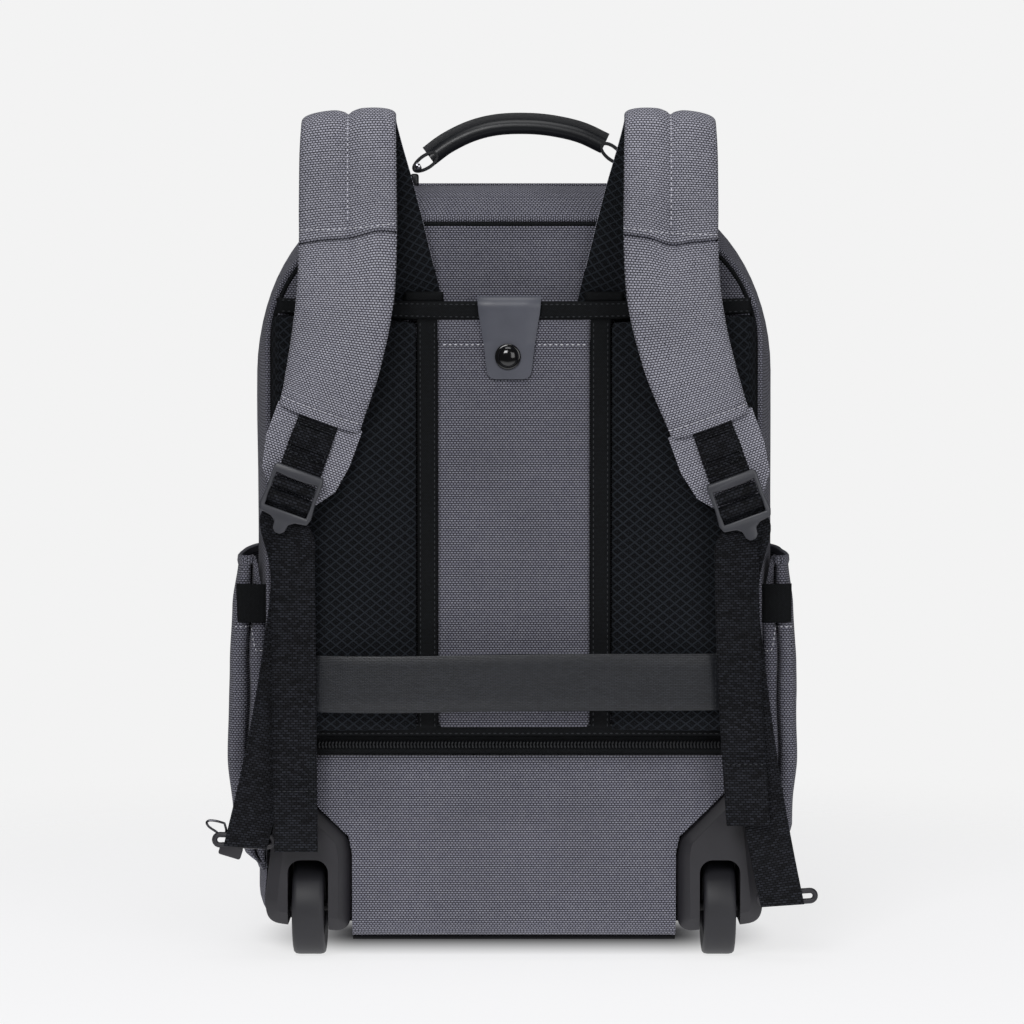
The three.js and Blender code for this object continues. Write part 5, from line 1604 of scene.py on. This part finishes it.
def stadium(half, high, steps=10):
    """Points round a flat ring, across and up."""
    points = []
    for way in (1, -1):
        for k in range(steps + 1):
            a = math.pi * (k / steps - 0.5)
            points.append((way * (half - high + high * math.cos(a)), way * high * math.sin(a)))
    return points


for side, way in SIDES.items():
    across, up, half, tilt = RINGS[side]
    end = webbing_lines[side][0]["place"]
    turn = Matrix.Rotation(math.radians(tilt), 4, "Y")
    middle = Vector((way * across * MM, end.y + 0.3 * MM, up * MM))
    line = [middle + turn @ (Vector((x, 0, z)) * MM) for x, z in stadium(half, RING_HALF_HIGH)]
    shape = bmesh.new()
    add_to(shape, tube(line, RING_THICK, 10, closed=True))
    if way < 0:
        body = bmesh.ops.create_cube(shape, size=1.0)["verts"]
        bmesh.ops.scale(shape, vec=(14 * MM, 4.5 * MM, 7.5 * MM), verts=body)
        edges = list({e for v in body for e in v.link_edges})
        made = bmesh.ops.bevel(shape, geom=edges, offset=1.2 * MM, segments=2, profile=0.5, affect="EDGES",
                               material=-1)["verts"]
        body = {v for v in body if v.is_valid} | set(made)
        lean = Matrix.Rotation(math.radians(17), 3, "Y")
        bmesh.ops.rotate(shape, verts=list(body), cent=(0, 0, 0), matrix=lean)
        bmesh.ops.translate(shape, verts=list(body), vec=middle + Vector((-8.5, 1.5, -6.5)) * MM)
        wire_from = middle + Vector((-half + 7.5, 1.0, 5.0)) * MM
        loop = [wire_from + Vector((x, 0, z)) * MM for x, z in HOOK_WIRE]
        round_loop = [p for p, _ in through(loop + loop[:1], 36)][:-1]
        keep(f"hook_wire_{side}", tube(round_loop, 0.75, 8, closed=True), black_nickel)
    body = keep(f"webbing_ring_{side}", flat_map(shape), housing_abs)
    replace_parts(body, f"hook_{side}")
print("rings at the webbing's lower ends")

# %% [markdown]
# ## Stitches
# Thread shows as short light dashes, a little sunk into the cloth. Each is one small rounded grain,
# laid along its seam, and all the grains of a seam are one piece. Seams on black tape use black thread.

# %% Stitch rows
STITCH = 2.3
STITCH_STEP = 3.4
THREAD = 0.4


def stitched(name, lines, material):
    """Dashes along lines of places, each line with the direction that the cloth faces."""
    shape = bmesh.new()
    for points, facing in lines:
        run, goal = 0.0, STITCH_STEP / 2
        for a, b in zip(points, points[1:]):
            long = (b - a).length / MM
            while run + long >= goal:
                place = a + (b - a) * ((goal - run) / long)
                way = (b - a).normalized()
                side = facing.cross(way).normalized()
                out = way.cross(side)
                turn = Matrix((way, side, out)).transposed().to_4x4()
                size = Matrix.Diagonal((STITCH / 2 * MM, THREAD * MM, THREAD * 0.9 * MM, 1))
                bmesh.ops.create_icosphere(shape, subdivisions=1, radius=1.0,
                                           matrix=Matrix.Translation(place) @ turn @ size)
                goal += STITCH_STEP
            run += long
    return keep(name, shape, material, angle=80)


def strap_line(side, points, proud=0.0):
    """Places on a strap's outer face from runs and places across, in millimetres."""
    samples, _ = strap_samples[side]
    co = coordinates(bpy.data.objects[f"padded_strap_{side}"].data)
    run, across, out, _ = laid_on(samples, co)
    places = []
    for r, a in points:
        near = np.hypot(run - r, across - a) + np.where(out > 0, 0, 1000)
        k = int(near.argmin())
        sample = min(samples, key=lambda s: abs(s["run"] - r))
        base = sample["place"] + sample["way"] * (r - sample["run"]) * MM + sample["wide"] * a * MM
        places.append(base + sample["deep"] * (out[k] + proud) * MM)
    return places


TOWARDS_VIEWER = Vector((0, -1, 0))
for side, way in SIDES.items():
    samples, fold = strap_samples[side]
    end = samples[-1]["run"]
    fold_rows = [(fold - 6 + 2.2 * math.exp(-((a / 34) ** 2)) - 1.2, a) for a in np.linspace(-29, 29, 30)]
    hem_rows = [(end - 6.8, a) for a in np.linspace(-25.5, 25.5, 26)]
    valley_rows = [(r, 0) for r in np.linspace(140, fold - 8, 40)]
    lines = [(strap_line(side, rows_, 0.35), TOWARDS_VIEWER) for rows_ in (fold_rows, hem_rows, valley_rows)]
    stitched(f"strap_stitches_{side}", lines, thread)
    hem = hem_frame(side)

    def on_hem(x, z, out):
        return hem @ (Vector((x, out, z)) * MM)

    bars = [([on_hem(x, z, -2.35) for x in (-11, 11)], TOWARDS_VIEWER) for z in (-5, -8, -24, -27, -30)]
    bars += [([on_hem(x, -4, -2.35), on_hem(x, -31, -2.35)], TOWARDS_VIEWER) for x in (-11, 11)]
    stitched(f"bar_stitches_{side}", bars, dark_thread)
    line = webbing_lines[side]
    tail = [s for s in line if line[-1]["run"] - s["run"] < TAIL_FOLD - 2.5][0]
    low_end = [s for s in line if s["run"] > TAIL_FOLD - 3.0][0]
    rows_ = []
    for s in (tail, low_end):
        lift_off = s["deep"] * (s["thick"] / 2 + 0.15) * MM
        rows_.append(([s["place"] + s["wide"] * a * MM + lift_off for a in (-11.5, 11.5)], TOWARDS_VIEWER))
    stitched(f"fold_stitches_{side}", rows_, dark_thread)
    seam_up = (ELASTIC_LOW - 3 - POCKET_FOOT) / (POCKET_MOUTH - POCKET_FOOT)
    seam = [pocket_place(way, step, seam_up) + Vector((way * 0.1, -0.3, 0)) * MM for step in range(6, 62)]
    stitched(f"pocket_stitches_{side}", [(seam, TOWARDS_VIEWER)], thread)


def straight(x0, z0, x1, z1, deep):
    return [spot(x0, deep, z0), spot(x1, deep, z1)], TOWARDS_VIEWER


stitched("fold_line_stitches", [straight(-44, FOLD_LINE - 1.9, 44, FOLD_LINE - 1.9, -STOW - 4.35)], thread)
tape_lines = []
for z, part in ((393.4, 0.17), (401.2, 0.84)):
    line = [spot(x, -STOW - 4.35, z + (1 - part) * mouth(x)[0] + part * mouth(x)[1])
            for x in np.linspace(-142, 142, 40)]
    tape_lines.append((line, TOWARDS_VIEWER))
tape_lines += [straight(way * x, PAD_FROM + 2, way * x, PAD_TO - 2, -STOW - 4.1)
               for way in (-1, 1) for x in (48.5, 57.2)]
tape_lines += [straight(-146, z, 146, z, -STOW - 3.3) for z in (141.6, 146.8)]
stitched("tape_stitches", tape_lines, dark_thread)
ends = []
for way in (-1, 1):
    for x in (120, 123, 128):
        sample = min(band_samples, key=lambda s: abs(s["place"].x / MM - way * x))
        deep = (sample["place"].y - BACK_FACE) / MM - 1.0
        ends.append(straight(way * x, BAND_UP - 16, way * x, BAND_UP + 16, deep))
stitched("band_end_stitches", ends, dark_thread)
